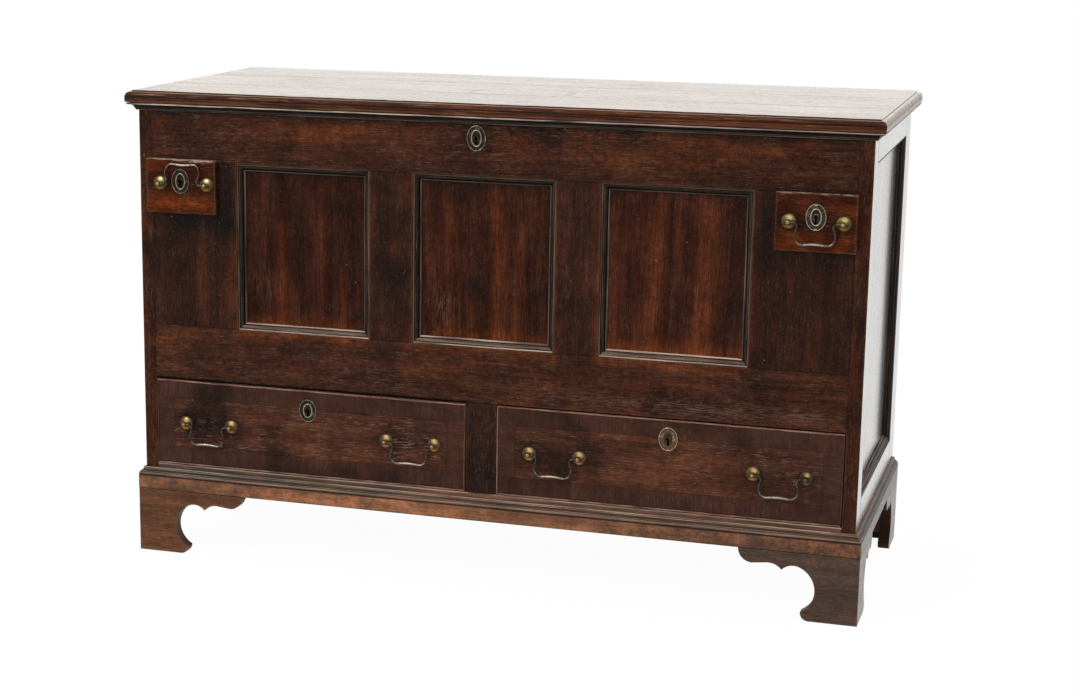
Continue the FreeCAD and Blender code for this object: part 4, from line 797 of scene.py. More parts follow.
def makePiece(name, stuff, material, body, replaced=(), sharp=50, weighted=True):
    mesh = makeMesh(name, stuff.points, stuff.faces)
    writeAttributes(mesh, stuff.grain, stuff.age, stuff.stain, stuff.tone)
    mesh.polygons.foreach_set("use_smooth", [True] * len(mesh.polygons))
    mesh.set_sharp_from_angle(angle=math.radians(sharp))
    mesh.materials.append(material)
    piece = addObject(name, mesh)
    if weighted:
        evenNormals(piece)
    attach(piece, body)
    if replaced:
        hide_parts(*replaced)
    return piece


def finishFaces(piece, chosen, material):
    # Gives the faces whose normal and middle are chosen another finish.
    mesh = piece.data
    mesh.materials.append(material)
    index = len(mesh.materials) - 1
    for face in mesh.polygons:
        if chosen(face.normal, face.center / mm):
            face.material_index = index


def hump(value, middle, spread):
    # 1 at the middle, falling softly to nothing about twice the spread away.
    return math.exp(-((value - middle) / spread) ** 2)


def ragged(place, size, low=0.0, high=1.0):
    # A slow unevenness between low and high.
    return low + (high - low) * (0.5 + 0.5 * noise.noise(place / size))


def makeCutter(outline, near, far):
    # A prism along y from an outline of (x, z) points, used to cut a hole and then thrown away.
    count = len(outline)
    points = [Vector((x, y, z)) * mm for y in (near, far) for x, z in outline]
    faces = [tuple(range(count)), tuple(range(count, 2 * count))]
    faces += [(i, (i + 1) % count, count + (i + 1) % count, count + i) for i in range(count)]
    return addObject("cutter", makeMesh("cutter", points, faces))


def carve(piece, cutters, log, light):
    # Cuts holes in a board, then gives every point its place in the log again.
    piece.modifiers.clear()
    for cutter in cutters:
        cut = piece.modifiers.new("cut", "BOOLEAN")
        cut.operation = "DIFFERENCE"
        cut.solver = "EXACT"
        cut.object = cutter
    bpy.context.view_layer.update()
    mesh = bpy.data.meshes.new_from_object(piece.evaluated_get(bpy.context.evaluated_depsgraph_get()))
    piece.modifiers.clear()
    piece.data = mesh
    for cutter in cutters:
        bpy.data.objects.remove(cutter)
    grain = [log(vertex.co / mm) for vertex in mesh.vertices]
    age, stain = ([tuple(entry.vector) for entry in mesh.attributes[name].data] for name in ("age", "stain"))
    writeAttributes(mesh, grain, age, stain, [light] * len(mesh.vertices))
    mesh.set_sharp_from_angle(angle=math.radians(50))
    evenNormals(piece)


# The carcass: its depth and width, then its heights from the feet up.
front, back = -251.65, 264.35
halfWidth, innerHalf = 625.0, 602.0
footTop, drawerLow, drawerHigh, panelLow, panelHigh, carcassTop = 114.0, 160.0, 317.0, 411.0, 698.0, 798.0
frameThick = 24.0
panelFace = front + 12
openings = ((-445.0, -205.0), (-128.0, 117.0), (193.0, 440.0))
drawerOpenings = ((-innerHalf, -31.3), (21.7, innerHalf))
postNear, postFar = front + 48, back - 65
endPanelLow, endPanelHigh, endPanelFace = 198.0, 745.0, 613.0

keyhole = {"eye": 3.6, "slotHalf": 1.7, "slotDown": 11.0}


def keyholeReach(angle):
    # From the eye's centre out to the keyhole's edge; the angle is taken from straight up.
    aside, up = abs(math.sin(angle)), math.cos(angle)
    if up >= 0:
        return keyhole["eye"]
    slot = min(keyhole["slotHalf"] / max(aside, 1e-6), keyhole["slotDown"] / -up)
    return max(keyhole["eye"], slot)


def keyholeAngles(count):
    # Evenly round, with the slot's two corners.
    corner = math.atan2(keyhole["slotHalf"], keyhole["slotDown"])
    return sorted([math.tau * i / count for i in range(count)] + [math.pi - corner, math.pi + corner])


def keyholeCutter(x, z, near, far):
    reach = [(a, keyholeReach(a)) for a in keyholeAngles(40)]
    return makeCutter([(x + math.sin(a) * r, z + math.cos(a) * r) for a, r in reach], near, far)


def boxCutter(left, right, low, high, near, far):
    return makeCutter([(left, low), (right, low), (right, high), (left, high)], near, far)


# Middles of the keyholes' eyes.
lidLock = (-18.7, 760.5)
drawerLocks = {"left": (-316.65, 278.0), "right": (314.85, 282.5)}
dummies = {
    "left": {
        "low": (-609.0, 609.5), "high": (-480.0, 703.0), "lock": (-544.5, 665.25), "pull": (-539.3, 661.0),
    },
    "right": {
        "low": (475.5, 606.0), "high": (604.5, 699.5), "lock": (540.0, 661.75), "pull": (540.5, 653.3),
    },
}


def onOpening(place):
    # Whether a place on the front lies at the edge of a panel's or a drawer's opening, and gets rubbed.
    # Over the left drawer the rail's lower arris is left unrubbed and darkened as a joint: painted shade for
    # the gap below.
    if place.x < -25 and abs(place.z - drawerHigh) < 5:
        return False
    holes = [(*sides, panelLow, panelHigh) for sides in openings]
    holes += [(*sides, drawerLow, drawerHigh) for sides in drawerOpenings]
    return any(
        left - 3 < place.x < right + 3 and low - 3 < place.z < high + 3 for left, right, low, high in holes
    )


def railStainAndShade(place):
    warm = 0.0
    for left, right in openings:
        if left - 10 < place.x < right + 10:
            warm += hump(place.z, panelLow - 7, 9) * ragged(place, 45, 0.1, 0.9)
    warm += hump(place.z, 352, 26) * ragged(place + xAxis * 900, 60, -0.1, 0.25)
    # The gap over the left drawer is the widest; painted shade along the rail's lower edge darkens the gap,
    # most of all there.
    spread, dirtAndShade = (2.9, 1.3) if place.x < -30 else (1.9, 0.9)
    gap = dirtAndShade * hump(place.z, drawerHigh - 1, spread)
    shaded = gap + hump(place.z, 335, 26) * ragged(place, 80, 0, 0.2)
    pale = hump(place.z, 336, 17) * (0.9 if place.x > 60 else 0.40) * ragged(place, 55, 0.1, 1.0)
    clean = 1 - min(1.0, gap)
    return (warm * clean, shaded, pale * clean)


def topRailStainAndShade(place):
    # Painted shade under the lid moulding and along the lower edge over the panels; also darker round the
    # lock.
    lockX, lockZ = lidLock
    warm = hump(place.z, 762, 28) * ragged(place, 60, -0.1, 0.55)
    for x, spread in ((-330, 60), (60, 45), (330, 55)):
        warm += 0.22 * hump(place.x, x, spread) * hump(place.z, 742, 30)
    shaded = hump(place.z, 786, 9) * 0.8 + hump(place.z, panelHigh + 1, 7) * 0.35
    shaded += 0.6 * hump(place.x, lockX, 34) * hump(place.z, lockZ, 30)
    pale = 0.5 * hump(place.x, -390, 90) * hump(place.z, 765, 20) * ragged(place, 18, -0.5, 1)
    return (warm, shaded, pale + 0.12 * ragged(place, 50, -0.5, 1))


def uprightStainAndShadow(place):
    # Painted shadow under the false fronts and beside the left one, darker part way down the left muntin;
    # warmer near the panels' edges.
    warm, shaded = 0.0, 0.0
    for left, right in openings:
        for edge in (left, right):
            warm += hump(place.x, edge, 7) * ragged(place, 40, 0.05, 0.75)
    if place.x < -445:
        shaded += 0.75 * hump(place.z, 596, 26) + 0.95 * hump(place.x, -466, 20) * hump(place.z, 664, 55)
        warm += 0.45 * hump(place.z, 480, 60) * ragged(place, 40, -0.2, 0.8)
    elif place.x > 440:
        shaded += 0.65 * hump(place.z, 594, 22)
        warm += 0.40 * hump(place.z, 520, 70) * ragged(place, 40, -0.2, 0.8)
    elif place.x < -100:
        warm += 0.55 * hump(place.x, -158, 17) * hump(place.z, 578, 22) + 0.35 * hump(place.z, 432, 24)
        shaded += 0.6 * hump(place.z, 530, 28)
    return (warm, shaded, 0.0)


def leftDusk(place):
    # The mouldings of the base are darkest towards the left corner.
    return min(1.0, max(0.0, -place.x - 240) / 240) * ragged(place, 40, 0.7, 1.2)


def railCutters(name):
    if name == "topRail":
        # The keyhole, and room for the lock's case behind it.
        return [
            keyholeCutter(*lidLock, front - 5, front + 20),
            boxCutter(-54.0, 16.6, 735.7, 799.0, front + 11.7, front + 30),
        ]
    if name == "lowerRail":
        # Each drawer's bolt rises into a mortise.
        return [
            boxCutter(x - 13, x + 13, drawerHigh - 3, drawerHigh + 7.5, front + 13.2, front + 19.8)
            for x, _ in drawerLocks.values()
        ]
    return []


def buildFrontFrame():
    # Rails run between the corner posts; stiles and muntins stand between the rails.
    rails = {
        "topRail": (panelHigh, carcassTop, 0.06, topRailStainAndShade, carcassOak),
        "lowerRail": (drawerHigh, panelLow, 0.20, railStainAndShade, carcassOak),
        "bottomRail": (footTop, drawerLow, 0.0, lambda place: (0, leftDusk(place), 0), baseMouldOakWithFloorLight),
    }
    shared = {"bare": "+y", "step": 10.0, "wide": 7.0, "exposed": onOpening}
    behind = front + frameThick
    for name, (low, high, tone, stain, finish) in rails.items():
        stuff = Stuff()
        log, light = addBoard(stuff, (-innerHalf, front, low), (innerHalf, behind, high), "xzy", name,
                              tone=tone, stain=stain, wear=0.8, joint=0.25, **shared)
        node = "front_" + name.replace("Rail", "_rail")
        piece = makePiece(name, stuff, finish, "chest", [node])
        cutters = railCutters(name)
        if cutters:
            carve(piece, cutters, log, light)
    uprights = {
        "stiles": (("left stile", -innerHalf, openings[0][0], -0.05),
                   ("right stile", openings[2][1], innerHalf, 0.0)),
        "muntins": (("left muntin", openings[0][1], openings[1][0], 0.1),
                    ("right muntin", openings[1][1], openings[2][0], 0.15)),
    }
    for name, boards in uprights.items():
        stuff = Stuff()
        for seed, left, right, tone in boards:
            addBoard(stuff, (left, front, panelLow), (right, behind, panelHigh), "zxy", seed, tone=tone,
                     stain=uprightStainAndShadow, chip=0.6, **shared)
        makePiece(name, stuff, uprightOak, "chest", ["front_" + name])
    stuff = Stuff()
    left, right = drawerOpenings[0][1], drawerOpenings[1][0]
    addBoard(stuff, (left, front, drawerLow), (right, behind, drawerHigh), "zxy", "drawer muntin", tone=0.05,
             bare="+y", exposed=onOpening, wear=0.5, wide=10.0, stain=lambda place: (0, 0.50, 0.24))
    makePiece("drawerMuntin", stuff, uprightOak, "chest", ["drawer_muntin"])


# Upright streaks of each panel: how far across, half their width, strength, and where they fade out upwards.
panelStreaks = (
    ((0.32, 9.0, 0.85, 0.80), (0.62, 5.0, 0.35, 0.85), (0.78, 10.0, 0.20, 0.6)),
    ((0.26, 15.0, 0.50, 1.0), (0.59, 12.0, 0.80, 1.0), (0.73, 9.0, 0.25, 0.8)),
    ((0.36, 17.0, 0.55, 1.0), (0.71, 15.0, 0.60, 1.0), (0.12, 12.0, 0.20, 0.9)),
)


def panelStainAndShade(number):
    left, right = openings[number]

    def stained(place):
        across = (place.x - left) / (right - left)
        up = (place.z - panelLow) / (panelHigh - panelLow)
        warm = 0.0
        for where, half, strength, top in panelStreaks[number]:
            wander = 5 * noise.noise(Vector((0, number * 9, place.z / 120)))
            middle = left + (right - left) * where + wander
            fade = min(1.0, max(0.0, (top + 0.12 - up) / 0.3))
            fade *= ragged(Vector((number * 9, 0, place.z)), 60, 0.4, 1.1)
            warm += 0.75 * strength * hump(place.x, middle, half) * fade
        warm += hump(up, 0.04, 0.05) * ragged(place, 22, 0.15, 0.9)
        # Painted shade along the top and the two sides of each sunk panel, most at the top and the left; the
        # darker places across the middle are the wood's own.
        shaded = hump(up, 0.98, 0.05) + 0.7 * hump(across, 0.03, 0.04) + 0.5 * hump(across, 0.98, 0.03)
        for where, half in ((0.45, 0.06), (0.9, 0.07)):
            shaded += 0.45 * hump(across, where, half) * hump(up, 0.45, 0.3)
        pale = hump(up, 0.25, 0.13) * hump(across, 0.20, 0.12) * (0.5 if number == 1 else 0.3)
        pale += 0.12 * ragged(place, 60, -0.6, 1.0)
        return (warm, shaded * ragged(place, 40, 0.4, 1.1), pale)

    return stained


def buildPanels():
    stuff = Stuff()
    for number, (left, right) in enumerate(openings):
        addBoard(
            stuff, (left - 1, panelFace, panelLow - 1), (right + 1, panelFace + 8, panelHigh + 1), "zxy",
            f"panel {number}", bare="+y", uneven=0.5, dirty=0.6, step=9.0, wide=5.0, stain=panelStainAndShade(number),
            tone=(0.10, 0.20, 0.60)[number],
        )
    makePiece("panels", stuff, panelOak, "chest", ["front_panels"])


def postBare(place):
    # A front post has no finish inside the carcass.
    return 1.0 if abs(place.x) < innerHalf + 4 and place.y > front + 20 else 0.0


def postArris(place):
    # The outer arris and, beside the drawers, the inner one.
    beside = abs(place.x) < innerHalf + 3 and drawerLow - 2 < place.z < drawerHigh + 3
    return place.y < front + 3 and (abs(place.x) > halfWidth - 3 or beside)


def buildEnds():
    for word, side in (("left", -1), ("right", 1)):
        x0, x1 = sorted((side * halfWidth, side * innerHalf))
        bare = "-x" if side > 0 else "+x"
        stuff = Stuff()
        addBoard(stuff, (x0, front, footTop), (x1, postNear, carcassTop), "zyx", word + " front post",
                 bare=postBare, tone=-0.1, chip=0.6, joint=0.15, exposed=postArris, wear=0.7,
                 stain=lambda place: (0.22 * ragged(place, 60, 0.2, 1.2), 0, 0))
        addBoard(stuff, (x0, postFar, footTop), (x1, back, carcassTop), "zyx", word + " rear post", bare=bare,
                 exposed=lambda place: place.y > back - 3)
        for low, high, name in ((footTop, endPanelLow, "low"), (endPanelHigh, carcassTop, "high")):
            addBoard(stuff, (x0, postNear, low), (x1, postFar, high), "yzx", f"{word} {name} end rail",
                     bare=bare, exposed=lambda place: False)
        piece = makePiece(word + "EndFrame", stuff, endOakWithSheen, "chest", [word + "_end_frame"])
        finishFaces(piece, lambda normal, middle: normal.y < -0.6 and middle.y < front + 3, carcassOak)
        finishFaces(piece, lambda normal, middle: normal.y > 0.6 and middle.y > back - 3, innerOak)
        panel = Stuff()
        x0, x1 = sorted((side * (endPanelFace - 8), side * endPanelFace))
        addBoard(panel, (x0, postNear - 1, endPanelLow - 1), (x1, postFar + 1, endPanelHigh + 1), "zyx",
                 word + " end panel", bare=bare, uneven=0.5, dirty=0.6)
        makePiece(word + "EndPanel", panel, endOakWithSheen, "chest", [word + "_end_panel"])


def framePath(fillet):
    # The moulding round a panel; fillet is how wide its flat outer edge is.
    return [
        (0, 0), (12.5, 0), ((11.8, 2.1), (10.0, 2.9)), (9.3, 1.8), (8.7, 1.8), (8.4, 4.0),
        ((6.9, 7.1), (3.9, 8.5)), (3.3, 7.3), (2.6, 7.3), (2.3, 10), (fillet, 10), (0, 10),
    ]


# The fillets at its two edges are the most rubbed; their pale worn colour is partly a painted highlight.
panelMoulding = [
    (x, y, 1.0 if (x > 10.4 and y > 0.6) or (1.0 < x < 2.5 and y > 9.6) else 0.6 * rubbedAndHighlit, soiledAndShaded)
    for x, y, rubbedAndHighlit, soiledAndShaded in sectionOf(framePath(1.1))
]
# At the ends there is a black joint beside the outer fillet.
endMoulding = [
    (x, y, 0.0 if x < 1.2 else rubbedAndHighlit, 1.0 if x < 1.2 and y > 9 else soiledAndShaded)
    for x, y, rubbedAndHighlit, soiledAndShaded in sectionOf(framePath(1.0))
]
# The base moulding's path is drawn 16 high, and it stands on the band.
bandHeight, baseMouldingHeight = 25.0, 13.0
baseMoulding = [
    (x, y * baseMouldingHeight / 16, rubbedAndHighlit, soiledAndShaded)
    for x, y, rubbedAndHighlit, soiledAndShaded in sectionOf([
        (0, 0), (9.2, 0), (9.2, 0.7), (10.1, 1.2), ((10.5, 3.2), (9.2, 5.2)), (8.2, 5.4), (8.0, 6.6),
        (8.6, 7.2), ((5.0, 9.6), (4.0, 12.9)), (3.2, 13.1), (3.2, 13.9), (3.8, 14.2), (3.8, 16), (0, 16),
    ])
]
turn = math.sqrt(0.5)
# Only the outermost fillet of the moulding under the lid is rubbed pale; its pale stain is a painted
# highlight.
lidMoulding = [
    (x, y, 1.0 if x > 15.5 and y > 10.5 else 0.3 * rubbedAndHighlit, soiledAndShaded)
    for x, y, rubbedAndHighlit, soiledAndShaded in sectionOf([
        (0, 0), (4, 0), (4, 2.2), (5.2, 2.8), ((4 + 12 * (1 - turn), 2.8 + 6.6 * turn), (14.6, 9.4)),
        (14.6, 10), (16, 10.2), (16, 12.5), (0, 12.5),
    ])
]
# Dirt lies along the band's upper and lower edges.
plinthBand = [
    (x, y, 0.0, 1.0 if x > 9 and not 1.2 <= y <= bandHeight - 2.2 else 0.0)
    for x, y, _, _ in sectionOf([
        (0, 0), (10.5, 0), (10.5, 1.3), (10.5, 2.4), (10.5, bandHeight - 2.6), (10.5, bandHeight - 1.9),
        (10.5, bandHeight), (0, bandHeight),
    ], soften=0.5)
]
cockbead = sectionOf([(0, -10), (3, -10), (3, 0.1), ((1.5, 1.6), (0, 0.1))], soften=0.2)


def frameOf(stuff, section, corner, along, up, out, width, height, grains, seed, wearsAndHighlights=(0, 0, 0, 0),
            rubs=(1, 1, 1, 1), tonesWithPaintedLight=(None, None, None, None), **more):
    # Four strips, mitred, round the inside of an opening: bottom, right, top, left.
    corner = Vector(corner)
    far = corner + along * width
    strips = (
        (corner, along, up, width, grains[0]),
        (far, up, -along, height, grains[1]),
        (far + up * height, -along, -up, width, grains[0]),
        (corner + up * height, -up, along, height, grains[1]),
    )
    for number, (start, run, across, length, grain) in enumerate(strips):
        addRun(stuff, section, start, run, across, out, length, grain, f"{seed} {number}", mitres=(1, 1),
               wear=wearsAndHighlights[number], rub=rubs[number], tone=tonesWithPaintedLight[number], **more)


def returned(stuff, section, base, seed, **more):
    # A moulding along the front and back along both ends, mitred at the front corners.
    addRun(stuff, section, (-halfWidth, front, base), xAxis, -yAxis, zAxis, 2 * halfWidth, "xzy",
           seed + " front", mitres=(-1, -1), **more)
    depth = back - front
    addRun(stuff, section, (-halfWidth, back, base), -yAxis, -xAxis, zAxis, depth, "yzx",
           seed + " left", mitres=(0, -1), **more)
    addRun(stuff, section, (halfWidth, front, base), yAxis, xAxis, zAxis, depth, "yzx",
           seed + " right", mitres=(-1, 0), **more)


def onEnd(normal, middle):
    return abs(middle.x) > halfWidth and abs(normal.x) > 0.25 and middle.y > front + 2


def baseMouldingStain(place):
    # Knocked pale towards the right corner.
    pale = 1.3 * hump(place.x, 572, 26) * ragged(place, 12, 0.2, 1.2)
    pale += 0.5 * hump(place.x, 400, 140) * ragged(place, 20, -0.5, 1.1)
    shaded = 0.35 * ragged(place + xAxis * 400, 26, -0.5, 1.0) + 0.85 * leftDusk(place)
    return (0.5 * ragged(place, 30, -0.6, 0.9), shaded, pale)


def plinthStain(place):
    # Warm and dark patches, darker towards the right.
    darker = min(0.75, 0.0022 * max(0.0, place.x - 60)) + min(0.50, 0.004 * max(0.0, -place.x - 260))
    return (ragged(place, 22, -0.8, 0.9), ragged(place + xAxis * 300, 26, -0.7, 0.8) + darker, 0)


def lidMouldingHighlight(place):
    # The outermost fillet is painted paler as a highlight, most of all at the left.
    out = max(front - place.y, abs(place.x) - halfWidth)
    return (0, 0, (0.75 - 0.35 * place.x / halfWidth) * ragged(place, 60, 0.6, 1.3) if out > 15 else 0)


def buildMouldings():
    stuff = Stuff()
    for number, (left, right) in enumerate(openings):
        # The bottom strips face up and are painted light: a much lighter tone, and more pale wear and rubbing
        # than the others.
        frameOf(stuff, panelMoulding, (left, panelFace, panelLow), xAxis, zAxis, -yAxis, right - left,
                panelHigh - panelLow, ("xzy", "zxy"), f"panel strip {number}", wearsAndHighlights=(0.40, 0.0, 0.0, 0.0),
                rubs=(1.0, 0.24, 0.14, 0.24), tonesWithPaintedLight=(1.7, -0.1, -0.2, -0.1), step=8.0)
    makePiece("panelMouldings", stuff, mouldingOakWithHighlight, "chest", ["front_panel_mouldings"])
    stuff = Stuff()
    # The bottom strips of these mouldings are painted lighter too.
    for word, side, y, tonesWithPaintedLight in (("right", 1, postNear, (0.8, -0.5, -0.3, -0.1)),
                                 ("left", -1, postFar, (0.8, -0.1, -0.3, -0.5))):
        frameOf(stuff, endMoulding, (side * endPanelFace, y, endPanelLow), side * yAxis, zAxis, side * xAxis,
                postFar - postNear, endPanelHigh - endPanelLow, ("yzx", "zyx"), word + " strip",
                wearsAndHighlights=(0.3, 0.0, 0.0, 0.0), rubs=(0.6, 0.18, 0.18, 0.18), tonesWithPaintedLight=tonesWithPaintedLight)
    makePiece("endMouldings", stuff, mouldingOakWithHighlight, "chest", ["end_panel_mouldings"])
    stuff = Stuff()
    returned(stuff, lidMoulding, 784.3, "lid moulding", stain=lidMouldingHighlight)
    makePiece("lidMoulding", stuff, mouldingOakWithHighlight, "chest", ["lid_moulding"])
    stuff = Stuff()
    returned(stuff, baseMoulding, footTop + bandHeight, "base moulding", chip=0.25, wear=0.12, step=9.0,
             rub=0.80, dirty=0.72, stain=baseMouldingStain)
    piece = makePiece("baseMoulding", stuff, baseMouldOakWithFloorLight, "chest", ["base_moulding"])
    finishFaces(piece, onEnd, baseMouldEndOakWithSheen)
    stuff = Stuff()
    returned(stuff, plinthBand, footTop, "band", chip=0.6, step=9.0, wear=0.08, stain=plinthStain)
    piece = makePiece("plinthBand", stuff, bandOakWithFloorLight, "chest", ["plinth_band"])
    finishFaces(piece, onEnd, baseEndOakWithSheen)


def bracketOutline(length):
    # A bracket foot from its corner inwards: sole, turned-up toe, round hollow, arch, cusp, arch, hollow.
    sole = 78.0
    wing = (length - sole) / 120
    cusp, arch = sole + 47.5 * wing, sole + 17 * wing
    arcs = (
        ((sole + 11 * wing, 4), (sole + 15 * wing, 14), 5),
        ((sole - 7 * wing, 47), (arch, 89), 12),
        ((arch + 17 * wing, 91), (cusp, 83), 6),
        ((cusp + 9 * wing, 90), (cusp + 23 * wing, 93), 5),
    )
    outline = [(0.0, 0.0), (sole * 0.33, 0.0), (sole * 0.66, 0.0), (sole, 0.0)]
    for through, end, count in arcs:
        outline += arcThrough(outline[-1], through, end, count)
    outline.append((length - 22 * wing, 90.0))
    outline += arcThrough(outline[-1], (length - 7 * wing, 97), (length, footTop), 5)
    outline += [(length * share, footTop) for share in (0.66, 0.33, 0.0)]
    outline += [(0.0, footTop * share) for share in (0.8, 0.6, 0.4, 0.2)]
    return outline
    return outline


def shrunk(outline, amount):
    # The outline drawn in by an amount.
    drawn = []
    corners = [Vector(entry) for entry in outline]
    for i, here in enumerate(corners):
        back = (here - corners[i - 1]).normalized()
        onwards = (corners[(i + 1) % len(corners)] - here).normalized()
        inwards = Vector((-back.y - onwards.y, back.x + onwards.x)).normalized()
        shift = amount / max(0.5, Vector((-back.y, back.x)).dot(inwards))
        drawn.append(here + inwards * shift)
    return drawn


def addBracket(stuff, corner, along, inwards, length, mitred, seed, stain=(0, 0, 0)):
    thickness = 20.0
    # How far the outline is drawn in, how deep in the board it lies, and how rubbed it is.
    levels = (
        (2.6, 0.0, 0.35), (0.9, 0.05, 0.8), (0.25, 0.3, 1.0), (0.0, 0.9, 1.0),
        (0.0, thickness - 0.9, 0.6), (0.8, thickness, 0.5),
    )
    outline = bracketOutline(length)
    grain = "xzy" if abs(along.x) > 0.5 else "yzx"
    corner = Vector(corner)
    log = logOf(grain, seed, corner + along * (length / 2) + zAxis * (footTop / 2))
    light = toneOf(seed)
    rows = []
    for drawnIn, depth, rubbedAndHighlit in levels:
        row = []
        for (x0, z0), (x, z) in zip(outline, shrunk(outline, drawnIn)):
            if mitred and x0 < 0.01:
                x = max(depth, x if depth < 1 else depth)
            z = min(z, footTop - 0.1)
            foot = 1.0 if z0 < 12 else 0.45
            place = corner + along * x + inwards * depth + zAxis * z
            bite = dent(place, 9, 1.1 * foot * rubbedAndHighlit, 0.2) if z0 < footTop - 1 else 0.0
            place += inwards * (bite * 0.4) + zAxis * (bite if z0 < 1 else 0)
            # Dirt lies along the joint with the band, and under the sole.
            soilAndShade = 1.0 if z0 > footTop - 1.1 and drawnIn < 0.5 else 0.9 if z0 < 1 and depth > 0.2 else 0.0
            age = (rubbedAndHighlit * foot * (1 - soilAndShade), soilAndShade, 1.0 if depth > 15 else 0)
            row.append(stuff.point(place, log(place), age, light, stain))
        rows.append(row)
    stuff.rows(rows, closed=True)
    for row in (rows[0], rows[-1]):
        flat = [stuff.points[i] for i in row]
        for a, b, c in geometry.tessellate_polygon([flat]):
            stuff.face(row[a], row[b], row[c])


def onFootSide(normal, middle):
    return abs(normal.x) > 0.7 and abs(middle.x) > halfWidth + 5


def buildFeet():
    proud = 10.5
    fronts, rears = Stuff(), Stuff()
    for side, word in ((-1, "left"), (1, "right")):
        outer, inwards = side * (halfWidth + proud), -xAxis * side
        corner = (outer, front - proud, 0)
        # The right foot has gone grey.
        grey = (0, 0.70, 0.12) if side > 0 else (0.1, 0, 0)
        addBracket(fronts, corner, inwards, yAxis, 198, True, word + " front foot", grey)
        addBracket(fronts, corner, yAxis, inwards, 160, True, word + " front side foot")
        addBracket(rears, (outer, back, 0), -yAxis, inwards, 160, False, word + " rear foot")
        addBracket(rears, (outer - 20 * side, back, 0), inwards, -yAxis, 150, False, word + " back plate")
    for name, stuff, finish in (("front", fronts, baseOakWithFloorLight), ("rear", rears, rearOakInShade)):
        piece = makePiece(name + "Feet", stuff, finish, "chest", [name + "_feet"], sharp=60)
        finishFaces(piece, onFootSide, baseEndOakWithSheen)


lidShape = {
    "x": 643.0, "front": front - 18, "back": back + 2, "top": 818.0, "bottom": 798.0,
    "joints": (front + 160, front + 346), "inset": 10.0, "step": 2.0, "radius": 8.5,
}


def lidDrop(distance):
    # How far the top lies below its highest, this far in from a moulded edge.
    inset, step, radius = lidShape["inset"], lidShape["step"], lidShape["radius"]
    if distance >= inset - 0.01:
        return 0.0 if distance > inset + 0.5 else 0.35
    if distance >= radius:
        return step
    return step + radius - math.sqrt(max(0.0, radius ** 2 - (radius - distance) ** 2))


def addLidBoard(stuff, near, far, seed, moulded, heart, tone):
    # A board of the lid: its ends are moulded, and its front edge too where it is the front board.
    edge = [0.0, 0.4, 1.4, 3.0, 5.2, 7.4, 8.5, 9.55, 10.0, 10.8, 13.0, 20.0]
    joint = [0.0, 0.5, 3.0]
    half = lidShape["x"]
    inner = 2 * (half - edge[-1])
    count = round(inner / 15)
    xs = [-half + v for v in edge] + [-half + edge[-1] + inner * i / count for i in range(1, count)]
    xs += [half - v for v in reversed(edge)]
    first = edge if moulded else joint
    middle = far - near - first[-1] - joint[-1]
    count = max(1, round(middle / 45))
    ys = [near + v for v in first] + [near + first[-1] + middle * i / count for i in range(1, count)]
    ys += [far - v for v in reversed(joint)]
    log = logOf("xyz", seed, (0, (near + far) / 2, lidShape["top"]), heart, 0.004)
    top = []
    for x in xs:
        row = []
        for y in ys:
            fromEnd = half - abs(x)
            fromEdge = min(fromEnd, y - near) if moulded else fromEnd
            fromJoint = far - y if moulded else min(far - y, y - near)
            rubbedAndHighlit = 0.0
            # The arris 10.8 in from the edge is rubbed as a painted highlight; the rounded part further out
            # is rubbed too.
            for worn, spread, much in ((10.8, 0.9, 1.0), (5.6, 4.0, 0.75)):
                rubbedAndHighlit = max(rubbedAndHighlit, much * (1 - abs(fromEdge - worn) / spread))
            # Painted shade fills the step; dirt fills the joints; and it is darker along the line where the
            # moulded edge turns under.
            soiledAndShaded = max(0.0, 0.45 - abs(fromEdge - 9.0), 1.0 - fromEdge * 2.5, 1 - fromJoint / 1.5)
            drop = lidDrop(fromEdge) + (0.5 if fromJoint < 0.2 else 0.0)
            spot = Vector((x, y, lidShape["top"] - drop))
            sink = dent(spot, 16, 1.1 * rubbedAndHighlit, 0.15) + 0.45 * ragged(spot, 170)
            if fromEdge < 1.5:
                # The lower part of the moulded edge is knocked inwards instead.
                bite = dent(spot, 11, 0.9, 0.2)
                if moulded and y - near <= fromEnd:
                    spot.y += bite
                else:
                    spot.x -= math.copysign(bite, x)
            spot.z = max(lidShape["bottom"] + 6, spot.z - sink)
            pale = hump(fromEdge, 1.7, 1.4) * ragged(spot, 30, -0.1, 1.1) * (1.0 if x < -250 else 0.6)
            row.append(stuff.point(spot, log(spot), (rubbedAndHighlit, soiledAndShaded, 0), tone, (0, 0, pale)))
        top.append(row)
    stuff.rows(top)
    rim = [row[0] for row in top] + top[-1][1:] + [row[-1] for row in reversed(top[:-1])] + top[0][-2:0:-1]
    # Down the edge, round its lower arris, and flat underneath: height, drawn in, rubbed.
    levels = ((805.8, 0.0, 0.25), (803.0, 0.0, 0.0), (800.6, 0.0, 0.5), (798.8, 0.1, 0.6), (798.0, 1.0, 0.0))
    skirts = [rim]
    for level, drawnIn, rubbedAndHighlit in levels:
        row = []
        for index in rim:
            spot = stuff.points[index] / mm
            x = spot.x - math.copysign(drawnIn, spot.x) if abs(spot.x) > half - 4 else spot.x
            y = spot.y + drawnIn if spot.y < near + 2 else spot.y - drawnIn if spot.y > far - 2 else spot.y
            if level < lidShape["bottom"] + 1 and moulded and spot.y < near + 2:
                y += dent(Vector((x, y, level)), 10, 0.8, 0.25)
            lowered = Vector((x, y, level))
            row.append(stuff.point(lowered, log(lowered), (rubbedAndHighlit, 0, 0), tone))
        skirts.append(row)
    stuff.rows(skirts, closed=True)
    stuff.face(*skirts[-1])


